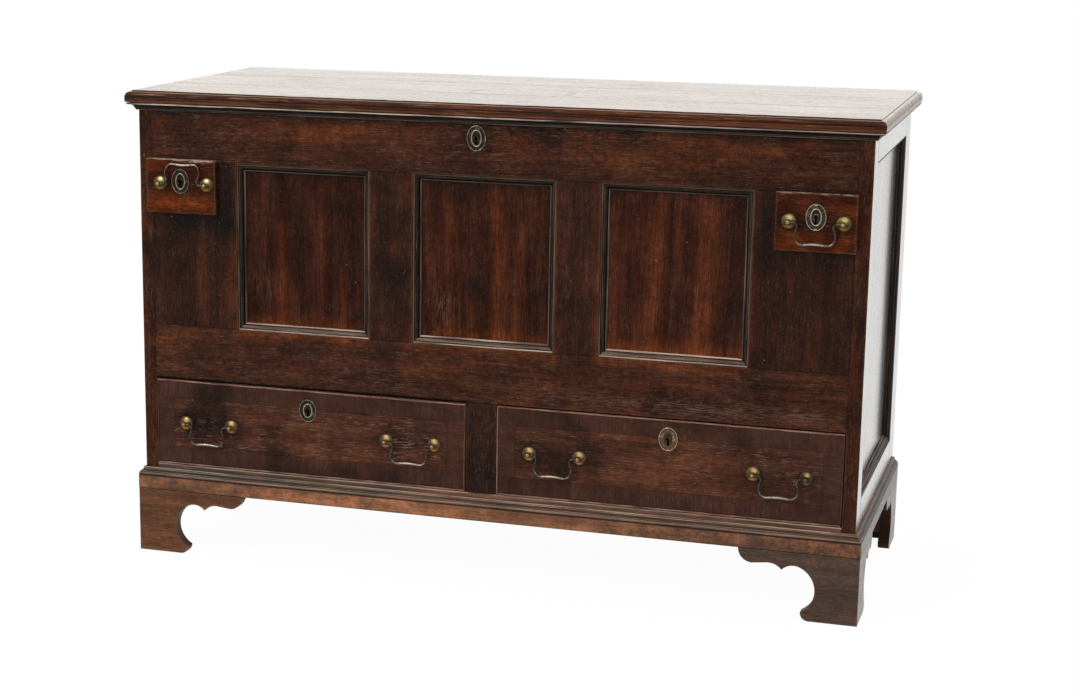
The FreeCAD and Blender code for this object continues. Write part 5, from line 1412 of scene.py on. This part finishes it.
def buildLid():
    stuff = Stuff()
    joints = lidShape["joints"]
    addLidBoard(stuff, lidShape["front"], joints[0], "lid front", True, (20, 70), 0.0)
    addLidBoard(stuff, joints[0], joints[1], "lid middle", False, (-35, 60), 0.1)
    addLidBoard(stuff, joints[1], lidShape["back"], "lid back", False, (120, 45), -0.05)
    piece = makePiece("lidBoards", stuff, lidOakWithHighlight, "lid", ["lid_boards"])
    finishFaces(
        piece, lambda normal, middle: normal.y < -0.35 and middle.y < lidShape["front"] + 12, lidEdgeOak
    )
    battens = Stuff()
    for side, word in ((-1, "left"), (1, "right")):
        x0, x1 = sorted((side * 379.0, side * 421.0))
        addBoard(battens, (x0, front + 50, 778), (x1, front + 450, 798), "yxz", word + " batten", arris=1.5,
                 tone=-0.1)
    makePiece("lidBattens", battens, innerOak, "lid", ["lid_battens"])


def buildInside():
    backRails = ((footTop, drawerLow), (748.0, carcassTop))
    floorLow, floorHigh = 330, 342
    rails, boards, floor = Stuff(), Stuff(), Stuff()
    for number, (low, high) in enumerate(backRails):
        addBoard(rails, (-innerHalf, back - 22, low), (innerHalf, back, high), "xzy", f"back rail {number}",
                 step=30.0)
    wide = (backRails[1][0] - backRails[0][1]) / 3
    for number in range(3):
        low = drawerLow + wide * number
        addBoard(boards, (-innerHalf, back - 12, low), (innerHalf, back, low + wide), "xzy",
                 f"back board {number}", step=30.0, uneven=0.8, dirty=0.5)
    splits = (front + 22, front + 181.35, front + 342.65, back - 12)
    for number, (near, far) in enumerate(zip(splits, splits[1:])):
        addBoard(floor, (-innerHalf, near, floorLow), (innerHalf, far, floorHigh), "xyz",
                 f"floor board {number}", step=30.0, uneven=0.6, dirty=0.5)
    makePiece("backRails", rails, innerOak, "chest", ["back_rails"])
    makePiece("backBoards", boards, innerOak, "chest", ["back_boards"])
    makePiece("wellFloor", floor, innerOak, "chest", ["well_floor"])


# Each drawer has settled on its runners by some millimetres, so the gap is at its top. Its beads are, in
# turn, the bottom, right, top and left ones.
drawers = {
    "left": {
        "x": (-601.0, -32.3), "z": (161.0, 316.0), "tone": 0.0, "dropped": 2.9,
        "beadWears": (0.25, 0.0, 0.75, 0.0), "beadRubs": (1.0, 0.5, 1.0, 0.1), "pullShades": (0.85, 0.45),
    },
    "right": {
        "x": (22.7, 601.0), "z": (161.0, 316.0), "tone": 0.05, "dropped": 1.1,
        "beadWears": (0.55, 0.0, 0.4, 0.3), "beadRubs": (1.0, 0.1, 1.0, 0.8), "pullShades": (0.45, 0.45),
    },
}
facing = {"thick": 0.5, "band": 29.0, "beadWidth": 3.0, "gap": 0.1}
drawerPulls = {"left": (-503.5, -131.0), "right": (122.5, 499.0)}
drawerPullHeight = 236.5
pull = {"half": 43.0, "reach": 9.5, "ball": 4.5, "rose": 13.0, "drop": 35.0, "lean": 11.5}


def drawerStain(word):
    lockX, lockZ = drawerLocks[word]
    leftX, rightX = drawerPulls[word]

    def stained(place):
        # Polish has built up dark round the handles, where a cloth doesn't reach.
        shaded = 0.0
        for x, strength in zip((leftX, rightX), drawers[word]["pullShades"]):
            shaded += strength * hump(place.x, x, 72) * hump(place.z, drawerPullHeight - 4, 42)
            for side in (-1, 1):
                post = x + pull["half"] * side
                shaded += 0.5 * hump(place.x, post, 19) * hump(place.z, drawerPullHeight, 19)
        shaded += 0.35 * hump(place.x, lockX, 24) * hump(place.z, lockZ - 4, 28)
        warm = 0.5 * hump(place.x, lockX + 30, 110) * ragged(place, 50, -0.1, 0.9)
        warm += hump(place.z, 205, 22) * ragged(place + xAxis * 500, 45, -0.3, 0.5)
        pale = 0.0
        for x, spread in ((rightX + 5, 60), (leftX + 190, 90)):
            pale += 0.5 * hump(place.x, x, spread) * hump(place.z, 232, 46) * ragged(place, 35, 0.1, 1.0)
        return (warm * (1 - 0.6 * min(1, shaded)), shaded * ragged(place, 30, 0.55, 1.1), pale)

    return stained


def addBanding(strips, word, x0, x1, z0, z1):
    # Short lengths of veneer, their grain across the band, make up a drawer's border.
    band, thick, gap = facing["band"], facing["thick"], facing["gap"]
    shared = {"arris": 0.12, "chip": 0.05, "step": 9.0, "wide": 9.0, "uneven": 0.08, "wear": 0.0}
    draw = random.Random(word + " banding")
    for name, low, high in (("top", z1 - band + gap, z1), ("bottom", z0, z0 + band - gap)):
        x, number = x0, 0
        while x < x1 - 1:
            end = x + draw.uniform(90, 150)
            end = x1 if end > x1 - 60 else end
            addBoard(
                strips, (x, front - thick, low), (end, front, high), "zxy", f"{word} {name} {number}",
                tone=draw.uniform(-0.24, -0.16), stain=drawerStain(word), joint=1.0,
                exposed=lambda place: place.z < high - 1.4 if name == "top" else place.z > low + 1.4,
                **shared,
            )
            x, number = end, number + 1
    half = (z1 - z0 - 2 * band) / 2
    for name, left, right in (("first", x0, x0 + band - gap), ("last", x1 - band + gap, x1)):
        for number in range(2):
            low = z0 + band + number * half
            nearMiddle = right > -100 and left < 100
            reddish = draw.uniform(0.30, 0.45) if nearMiddle else draw.uniform(0.0, 0.12)
            addBoard(
                strips, (left, front - thick, low), (right, front, low + half), "xzy",
                f"{word} {name} {number}", tone=draw.uniform(-0.2, -0.1),
                stain=lambda place: (reddish * ragged(place, 16, 0.2, 1.2), 0.25 if right < -500 else 0, 0),
                **shared,
            )


def buildDrawers():
    bead, band, thick = facing["beadWidth"], facing["band"], facing["thick"]
    for word, drawer in drawers.items():
        body = word + "_drawer"
        (left, right), (low, high) = drawer["x"], drawer["z"]
        high -= drawer["dropped"]
        x0, x1, z0, z1 = left + bead, right - bead, low + bead, high - bead + 0.9
        stuff = Stuff()
        log, light = addBoard(
            stuff, (x0 + band, front - thick, z0 + band), (x1 - band, front, z1 - band), "xzy",
            word + " field", arris=0.15, chip=0.05, uneven=0.1, tone=drawer["tone"], step=9.0, wide=8.0,
            stain=drawerStain(word), exposed=lambda place: False,
        )
        piece = makePiece(word + "DrawerField", stuff, drawerOak, body)
        carve(piece, [keyholeCutter(*drawerLocks[word], front - 5, front + 5)], log, light)
        strips = Stuff()
        addBanding(strips, word, x0, x1, z0, z1)
        makePiece(word + "DrawerBanding", strips, bandingOak, body)
        beads = Stuff()
        frameOf(beads, cockbead, (left, front, low), xAxis, zAxis, -yAxis, right - left, high - low,
                ("xzy", "zxy"), word + " bead", chip=0.35, step=9.0, dirty=0.6, wearsAndHighlights=drawer["beadWears"],
                rubs=drawer["beadRubs"])
        makePiece(word + "DrawerBeads", beads, beadOakWithHighlight, body, [word + "_drawer_cockbead"])


def dummyStain(word):
    dummy = dummies[word]
    (x0, z0), (x1, z1) = dummy["low"], dummy["high"]
    (lockX, lockZ), (pullX, pullZ) = dummy["lock"], dummy["pull"]

    def stained(place):
        across, up = (place.x - x0) / (x1 - x0), (place.z - z0) / (z1 - z0)
        if word == "left":
            warm = hump(up, 0.17, 0.12) * ragged(place, 14, 0.35, 1.15)
            warm += 0.5 * hump(across, 0.86, 0.07) * hump(up, 0.28, 0.1)
            pale = hump(place.z, z1, 1.6 + 3.6 * hump(across, 0.72, 0.28)) * ragged(place, 9, 0.5, 1.5)
            pale += 0.5 * hump(across, 0.0, 0.03) * ragged(place, 9, -0.5, 1)
        else:
            warm = 0.6 * ragged(place, 22, -0.55, 1.0) + 0.5 * hump(up, 0.25, 0.2) * hump(across, 0.2, 0.2)
            pale = hump(place.z, z1, 1.9) * ragged(place, 9, 0.3, 1.2)
            pale += hump(across, 1.0, 0.022) * ragged(place, 9, -0.5, 0.8)
        shaded = 0.7 * hump(place.x, lockX, 21) * hump(place.z, lockZ - 3, 27)
        for side in (-1, 1):
            shaded += 0.6 * hump(place.x, pullX + pull["half"] * side, 19) * hump(place.z, pullZ, 19)
        shaded += 0.4 * hump(up, 0.52, 0.2)
        return (warm, shaded * 0.8, pale)

    return stained


def buildDummies():
    for word, tone, chip in (("left", 0.1, 1.6), ("right", 0.0, 0.9)):
        (x0, z0), (x1, z1) = dummies[word]["low"], dummies[word]["high"]
        stuff = Stuff()
        log, light = addBoard(
            stuff, (x0, front - 10, z0), (x1, front + 0.05, z1), "xzy", word + " dummy", arris=1.4, chip=chip,
            step=4.0, wide=4.0, tone=tone, stain=dummyStain(word), wear=0.4, dirty=0.15,
        )
        piece = makePiece(word + "Dummy", stuff, dummyOak, "chest", [word + "_dummy_front"])
        carve(piece, [keyholeCutter(*dummies[word]["lock"], front - 15, front - 2)], log, light)


print("tools ready")
buildFrontFrame()
buildPanels()
buildEnds()
buildMouldings()
print("carcass dressed")
buildFeet()
buildLid()
buildInside()
buildDrawers()
buildDummies()
print("lid, feet, drawers and dummies dressed")

# How far each post and its rose have tarnished: below 0 they are bright.
pullTones = {
    "left_dummy": (-0.5, -0.4), "right_dummy": (-0.45, -0.5),
    "left_drawer_left": (-0.2, -0.1), "left_drawer_right": (-0.1, -0.25),
    "right_drawer_left": (-0.3, -0.2), "right_drawer_right": (-0.15, 0.9),
}


def domePatinaAndPaintedLight(reach, radius, rubbedAndHighlit, soiledAndShaded):
    # A painted highlight keeps a spot on the upper part of a rose bright; below, a painted reflection makes
    # it coppery, elsewhere it is painted dark as shade, and patina darkens it beside the post and the rim.
    across, up = reach.x / pull["rose"], reach.z / pull["rose"]
    bright = hump(math.hypot(across - 0.16, up - 0.48), 0.0, 0.27)
    lower = hump(up, -0.60, 0.17) * hump(across, 0.0, 0.45)
    rim = max(0.0, (radius - 9.6) / 3.4)
    neck = hump(radius, 4.6, 2.4) * (1 - bright)
    dirtAndShade = max(soiledAndShaded, neck, 0.95 * rim, 0.93 * (1 - max(bright, 0.80 * lower)))
    return (max(0.3 * rubbedAndHighlit, bright), dirtAndShade * (1 - 0.85 * bright), 0), (0.45 - 1.2 * up, 0, 0)


def addPost(stuff, x, z, face, through, tone):
    # A ball-headed post in a domed rose, and its nut behind the board.
    reach, ball, rose = pull["reach"], pull["ball"], pull["rose"]
    head = [
        (-through - 6, 0, 0, 0), (-through - 6, 3, 0, 0), (0, 3, 0, 0), (4.4, 3.0, 0, 1.0),
        (4.9, 3.5, 0.1, 0.7), (5.4, 3.5, 0.3, 0.4), (5.8, 2.9, 0, 0.7),
    ]
    for step in range(11):
        angle = math.pi * (0.22 + 0.78 * step / 10)
        head.append((reach - ball * math.cos(angle), ball * math.sin(angle), 0.0, 0.8 if step < 8 else 0.55))
    addTurned(stuff, head, (x, face, z), -yAxis, xAxis, around=24, tone=tone)
    dome = [(0, 0, 0, 0), (0, rose - 0.2, 0, 0.4), (0.25, rose, 0.3, 0.4), (0.6, rose - 0.25, 0.6, 0.2)]
    for step in range(10):
        angle = math.radians(8 + 74 * step / 9)
        dome.append((0.5 + 4.2 * math.sin(angle), (rose - 0.5) * math.cos(angle), 0.3, 0.5 * (step > 7)))
    dome.append((4.6, 0, 0, 1.0))
    addTurned(stuff, dome, (x, face, z), -yAxis, xAxis, around=36, tone=tone, patinaAndPaintedLight=domePatinaAndPaintedLight)
    nut = Stuff()
    addBoard(nut, (x - 6, face + through, z - 6), (x + 6, face + through + 4, z + 6), "zxy", "nut", arris=0.6,
             chip=0.1, step=6.0, uneven=0.05)
    stuff.take(nut, (0.1, 0.4, 0), 0.6)


def addBail(stuff, x, z, face, hang):
    # A swan-neck wire, thinner at the necks, with a swelling in the middle of its bar. Its line is how far
    # aside, how far down it hangs and its radius.
    half, drop = pull["half"], pull["drop"]
    shape = [
        (half + 1, 0, 1.7), (half - 4, 0, 1.7), (half - 9.6, 0.2, 1.75), (half - 12.9, 2.4, 1.75),
        (half - 14.6, 6.4, 1.6), (half - 13.0, 12.4, 1.45), (half - 11.4, 18.6, 1.45),
        (half - 12.2, 25.6, 1.6), (half - 16.0, drop - 3.2, 1.8), (half - 22.0, drop - 0.4, 1.9),
        (half - 31, drop - 1.1, 2.0), (0, drop - 1.8, 2.1),
    ]
    shape += [(-aside, down, radius) for aside, down, radius in reversed(shape[:-1])]
    pivot = Vector((x, face - pull["reach"], z))
    line = smoothThrough([Vector(entry) for entry in shape])
    path = [pivot + xAxis * entry.x + hang * entry.y for entry in line]
    # Fingers keep the bar bright; the necks stay dark.
    ages = []
    for entry in line:
        held = hump(entry.x, 0, 17) * hump(entry.y, 34, 8) if entry.y > 20 else 0.0
        ages.append((held, (0.75 if entry.y < 28 else 0.35) * (1 - held), 0))
    addTube(stuff, path, [entry.z for entry in line], ages)


def buildPulls():
    lean = math.radians(pull["lean"])
    thrownUp = Vector((0, math.sin(lean), math.cos(lean)))
    posts = {"dummies": Stuff(), "left": Stuff(), "right": Stuff()}
    rows = [
        (word + "_dummy", "dummies", *dummy["pull"], front - 10, 34.0, thrownUp if word == "left" else -zAxis)
        for word, dummy in dummies.items()
    ]
    for word, places in drawerPulls.items():
        for place, x in zip(("left", "right"), places):
            rows.append((f"{word}_drawer_{place}", word, x, drawerPullHeight, front, 22.0, -zAxis))
    for label, group, x, z, face, through, hang in rows:
        for side, tone in zip((-1, 1), pullTones[label]):
            addPost(posts[group], x + side * pull["half"], z, face, through, tone)
        wire = Stuff()
        addBail(wire, x, z, face, hang)
        node = label + "_bail"
        makePiece(node.replace("_", "") + "Wire", wire, bailBrass, node, [node], weighted=False)
    for group, name, finish, body, node in (
        ("dummies", "dummyPosts", postBrass, "chest", "dummy_pull_posts"),
        ("left", "leftDrawerPosts", copperBrass, "left_drawer", "left_drawer_pull_posts"),
        ("right", "rightDrawerPosts", copperBrass, "right_drawer", "right_drawer_pull_posts"),
    ):
        makePiece(name, posts[group], finish, body, [node], sharp=45, weighted=False)


# Distance in from the oval's edge, height, rubbed, dirty.
ringedPlate = (
    (0.0, 0.0, 0, 0.4), (0.0, 0.6, 0.2, 0.3), (0.3, 1.4, 0.4, 0.1), (0.8, 1.9, 0.7, 0), (1.3, 1.7, 0.5, 0),
    (1.9, 1.0, 0, 0.7), (2.8, 0.8, 0, 0.9), (5.0, 0.9, 0.1, 0.75), (6.6, 0.8, 0, 0.9), (7.1, 1.2, 0.3, 0.3),
    (7.7, 1.9, 0.9, 0), (8.5, 2.1, 1.0, 0), (9.2, 1.7, 0.6, 0.1), (9.7, 1.0, 0, 0.9), (10.4, 0.8, 0, 1.0),
)
dishedPlate = (
    (0.0, 0.0, 1, 0), (0.0, 0.9, 1, 0), (0.3, 1.7, 1, 0), (0.8, 1.95, 1, 0), (1.3, 1.7, 1, 0),
    (1.7, 1.1, 0, 0.7), (3.0, 0.8, 0, 0.3), (6.5, 0.7, 0.1, 0.1), (9.5, 0.75, 0, 0.6),
)


def addEscutcheon(stuff, x, z, face, width, height, rings, beads, tone):
    # An oval plate round a keyhole, its rim plain or worked into beads.
    angles = keyholeAngles(160)

    def onOval(angle, inwards):
        return Vector(((width / 2 - inwards) * math.sin(angle), (height / 2 - inwards) * math.cos(angle)))

    def addRing(spots, lifts, rubbedAndHighlit, soiledAndShaded):
        return [
            stuff.point((x + spot.x, face - lift, z + spot.y), age=(rubbedAndHighlit, soiledAndShaded, 0), tone=tone)
            for spot, lift in zip(spots, lifts)
        ]

    rows = []
    for inwards, rise, rubbedAndHighlit, soiledAndShaded in rings:
        depth = 0.4 if beads and 0.3 < inwards < 1.6 else 0.0
        lifts = [rise - depth * (0.5 - 0.5 * math.cos(a * 44)) for a in angles]
        rows.append(addRing([onOval(a, inwards) for a in angles], lifts, rubbedAndHighlit, soiledAndShaded))
    inwards, rise, _, _ = rings[-1]
    for share, lift, rubbedAndHighlit, soiledAndShaded in ((0.5, rise, 0, 0.9), (1.0, rise, 0.2, 0.6), (1.0, 0.0, 0, 1)):
        holes = [Vector((math.sin(a), math.cos(a))) * keyholeReach(a) for a in angles]
        spots = [onOval(a, inwards).lerp(hole, share) for a, hole in zip(angles, holes)]
        rows.append(addRing(spots, [lift] * len(angles), rubbedAndHighlit, soiledAndShaded))
    stuff.rows([*rows, rows[0]], closed=True)


def addPin(stuff, x, z, face, radius=1.3):
    profile = [
        (0, 0, 0, 0), (0, radius, 0, 0.5), (0.35, radius * 0.92, 0.4, 0.2), (0.75, radius * 0.55, 0.7, 0),
        (0.9, 0, 0.8, 0),
    ]
    addTurned(stuff, profile, (x, face, z), -yAxis, xAxis, around=12, tone=0.2)


def addLug(stuff, x, z, face):
    # A small rubbed tab at the top or foot of a plate.
    tab = Stuff()
    addBoard(tab, (x - 2.6, face - 1.5, z - 1.6), (x + 2.6, face, z + 1.6), "xzy", "lug", arris=0.5, chip=0.2,
             step=2.0, uneven=0.1)
    stuff.take(tab, (0.9, 0, 0), -0.4)


def buildPlates():
    plates = Stuff()
    size = (33, 43)
    addEscutcheon(plates, *lidLock, front, *size, ringedPlate, True, 0.15)
    for dz in (-19.2, 19.2):
        addPin(plates, lidLock[0], lidLock[1] + dz, front - 1.0)
    for word, tone, addFixing in (("left", 0.25, addPin), ("right", -0.15, addLug)):
        x, z = dummies[word]["lock"]
        addEscutcheon(plates, x, z, front - 10, *size, ringedPlate, True, tone)
        for dz in (-19.4, 19.4):
            addFixing(plates, x, z + dz, front - 11.0)
    makePiece("chestPlates", plates, plateBrass, "chest", ["chest_escutcheons"], sharp=60,
              weighted=False)
    for word, rings, beads, tone, finish in (
        ("left", ringedPlate, True, 0.1, plateBrass),
        ("right", dishedPlate, False, 0.6, dishBrass),
    ):
        plate = Stuff()
        x, z = drawerLocks[word]
        addEscutcheon(plate, x, z, front - 0.4, 32, 40, rings, beads, tone)
        addPin(plate, x, z - 18.0, front - 1.3, radius=1.6)
        if word == "left":
            addPin(plate, x, z + 17.8, front - 1.3)
        makePiece(word + "DrawerPlate", plate, finish, word + "_drawer",
                  [word + "_drawer_escutcheon"], sharp=60, weighted=False)


buildPulls()
buildPlates()
print("pulls and keyhole plates made")

# Solids that keep their own shape get eased edges and a finish.
keptNodes = {
    "drawer_partition": (innerAlongY, 0.8), "drawer_runners": (innerAlongY, 0.8),
    "drawer_guides_and_stops": (innerAlongY, 0.8), "foot_glue_blocks": (innerAlongX, 1.5),
    "left_drawer_front": (drawerCoreOak, 0.4), "right_drawer_front": (drawerCoreOak, 0.4),
    "left_drawer_sides_and_back": (innerAlongY, 0.4), "right_drawer_sides_and_back": (innerAlongY, 0.4),
    "left_drawer_bottom": (innerAlongX, 0.5), "right_drawer_bottom": (innerAlongX, 0.5),
    "lid_lock_case": (lockIron, 0.4), "lid_lock_bolt": (lockIron, 0.3), "lid_lock_catch": (lockIron, 0.4),
    "left_drawer_lock_case": (lockIron, 0.4), "right_drawer_lock_case": (lockIron, 0.4),
    "left_drawer_lock_bolt": (lockIron, 0.3), "right_drawer_lock_bolt": (lockIron, 0.3),
    "hinge_frame_leaves_and_pins": (hingeIron, 0.3), "hinge_lid_leaves": (hingeIron, 0.3),
}
for node, (material, ease) in keptNodes.items():
    solid = cadNodes[node]
    solid.data.materials.clear()
    solid.data.materials.append(material)
    weld = solid.modifiers.new("weld", "WELD")
    weld.merge_threshold = 0.00001
    edges = solid.modifiers.new("easedEdges", "BEVEL")
    edges.width = ease * mm
    edges.segments = 2
    edges.limit_method = "ANGLE"
    edges.angle_limit = math.radians(35)
    evenNormals(solid)
print("kept solids finished")

lighting = {
    "worldForDiffuse": 0.58,
    "floorWhite": 0.80,
    "floorHidden": 0.93,
    "floorGlow": 1.04,
}
lamps = {
    "key": {"place": (-1.9, -3.4, 3.0), "target": (0, 0, 0.4), "size": (2.6, 2.6), "watts": 62.0,
            "colour": (1, 1, 1)},
    "back": {"place": (-0.9, 3.6, 1.55), "target": (0, 0, 0.7), "size": (3.6, 1.6), "watts": 14.5,
             "colour": (1.0, 0.955, 0.895)},
}


def addLamp(name, lamp):
    data = bpy.data.lights.new(name, "AREA")
    data.energy = lamp["watts"]
    data.color = lamp["colour"]
    data.shape = "RECTANGLE"
    data.size, data.size_y = lamp["size"]
    made = addObject(name, data)
    made.location = lamp["place"]
    towards = Vector(lamp["target"]) - Vector(lamp["place"])
    made.rotation_euler = towards.to_track_quat("-Z", "Y").to_euler()
    made.visible_camera = False


def seenDirectly(g):
    # 1 for rays from the camera, also by way of a polished surface, or else 0.
    rays = g.add("LightPath").outputs
    seen = rays["Is Camera Ray"]
    for other in ("Is Glossy Ray", "Is Transmission Ray"):
        seen = g.maths("MAXIMUM", seen, rays[other])
    return seen


def buildStage():
    world = bpy.data.worlds.new("studio")
    bpy.context.scene.world = world
    g = Graph(world)
    dimmed, white = (
        g.add("Background", {"Color": (1, 1, 1, 1), "Strength": strength}).outputs[0]
        for strength in (lighting["worldForDiffuse"], 1.0)
    )
    mixed = g.add("MixShader", {0: seenDirectly(g), 1: dimmed, 2: white}).outputs[0]
    g.add("OutputWorld", {0: mixed})

    material = bpy.data.materials.new("paleFloor")
    g = Graph(material)
    pale = lighting["floorWhite"]
    matt = g.add("BsdfDiffuse", {"Color": (pale, pale, pale, 1)}).outputs[0]
    glow = g.add("Emission", {"Strength": lighting["floorGlow"]}).outputs[0]
    hidden = g.times(seenDirectly(g), lighting["floorHidden"])
    mixed = g.add("MixShader", {0: hidden, 1: matt, 2: glow}).outputs[0]
    g.add("OutputMaterial", {0: mixed})
    mesh = bpy.data.meshes.new("floor")
    mesh.from_pydata([(-30, -30, 0), (30, -30, 0), (30, 30, 0), (-30, 30, 0)], [], [(0, 1, 2, 3)])
    mesh.materials.append(material)
    floor = addObject("floor", mesh)
    floor.location.z = -0.0004
    for name, lamp in lamps.items():
        addLamp(name, lamp)


buildStage()
bpy.context.scene.view_settings.view_transform = "Standard"
print("stage and lamps ready")
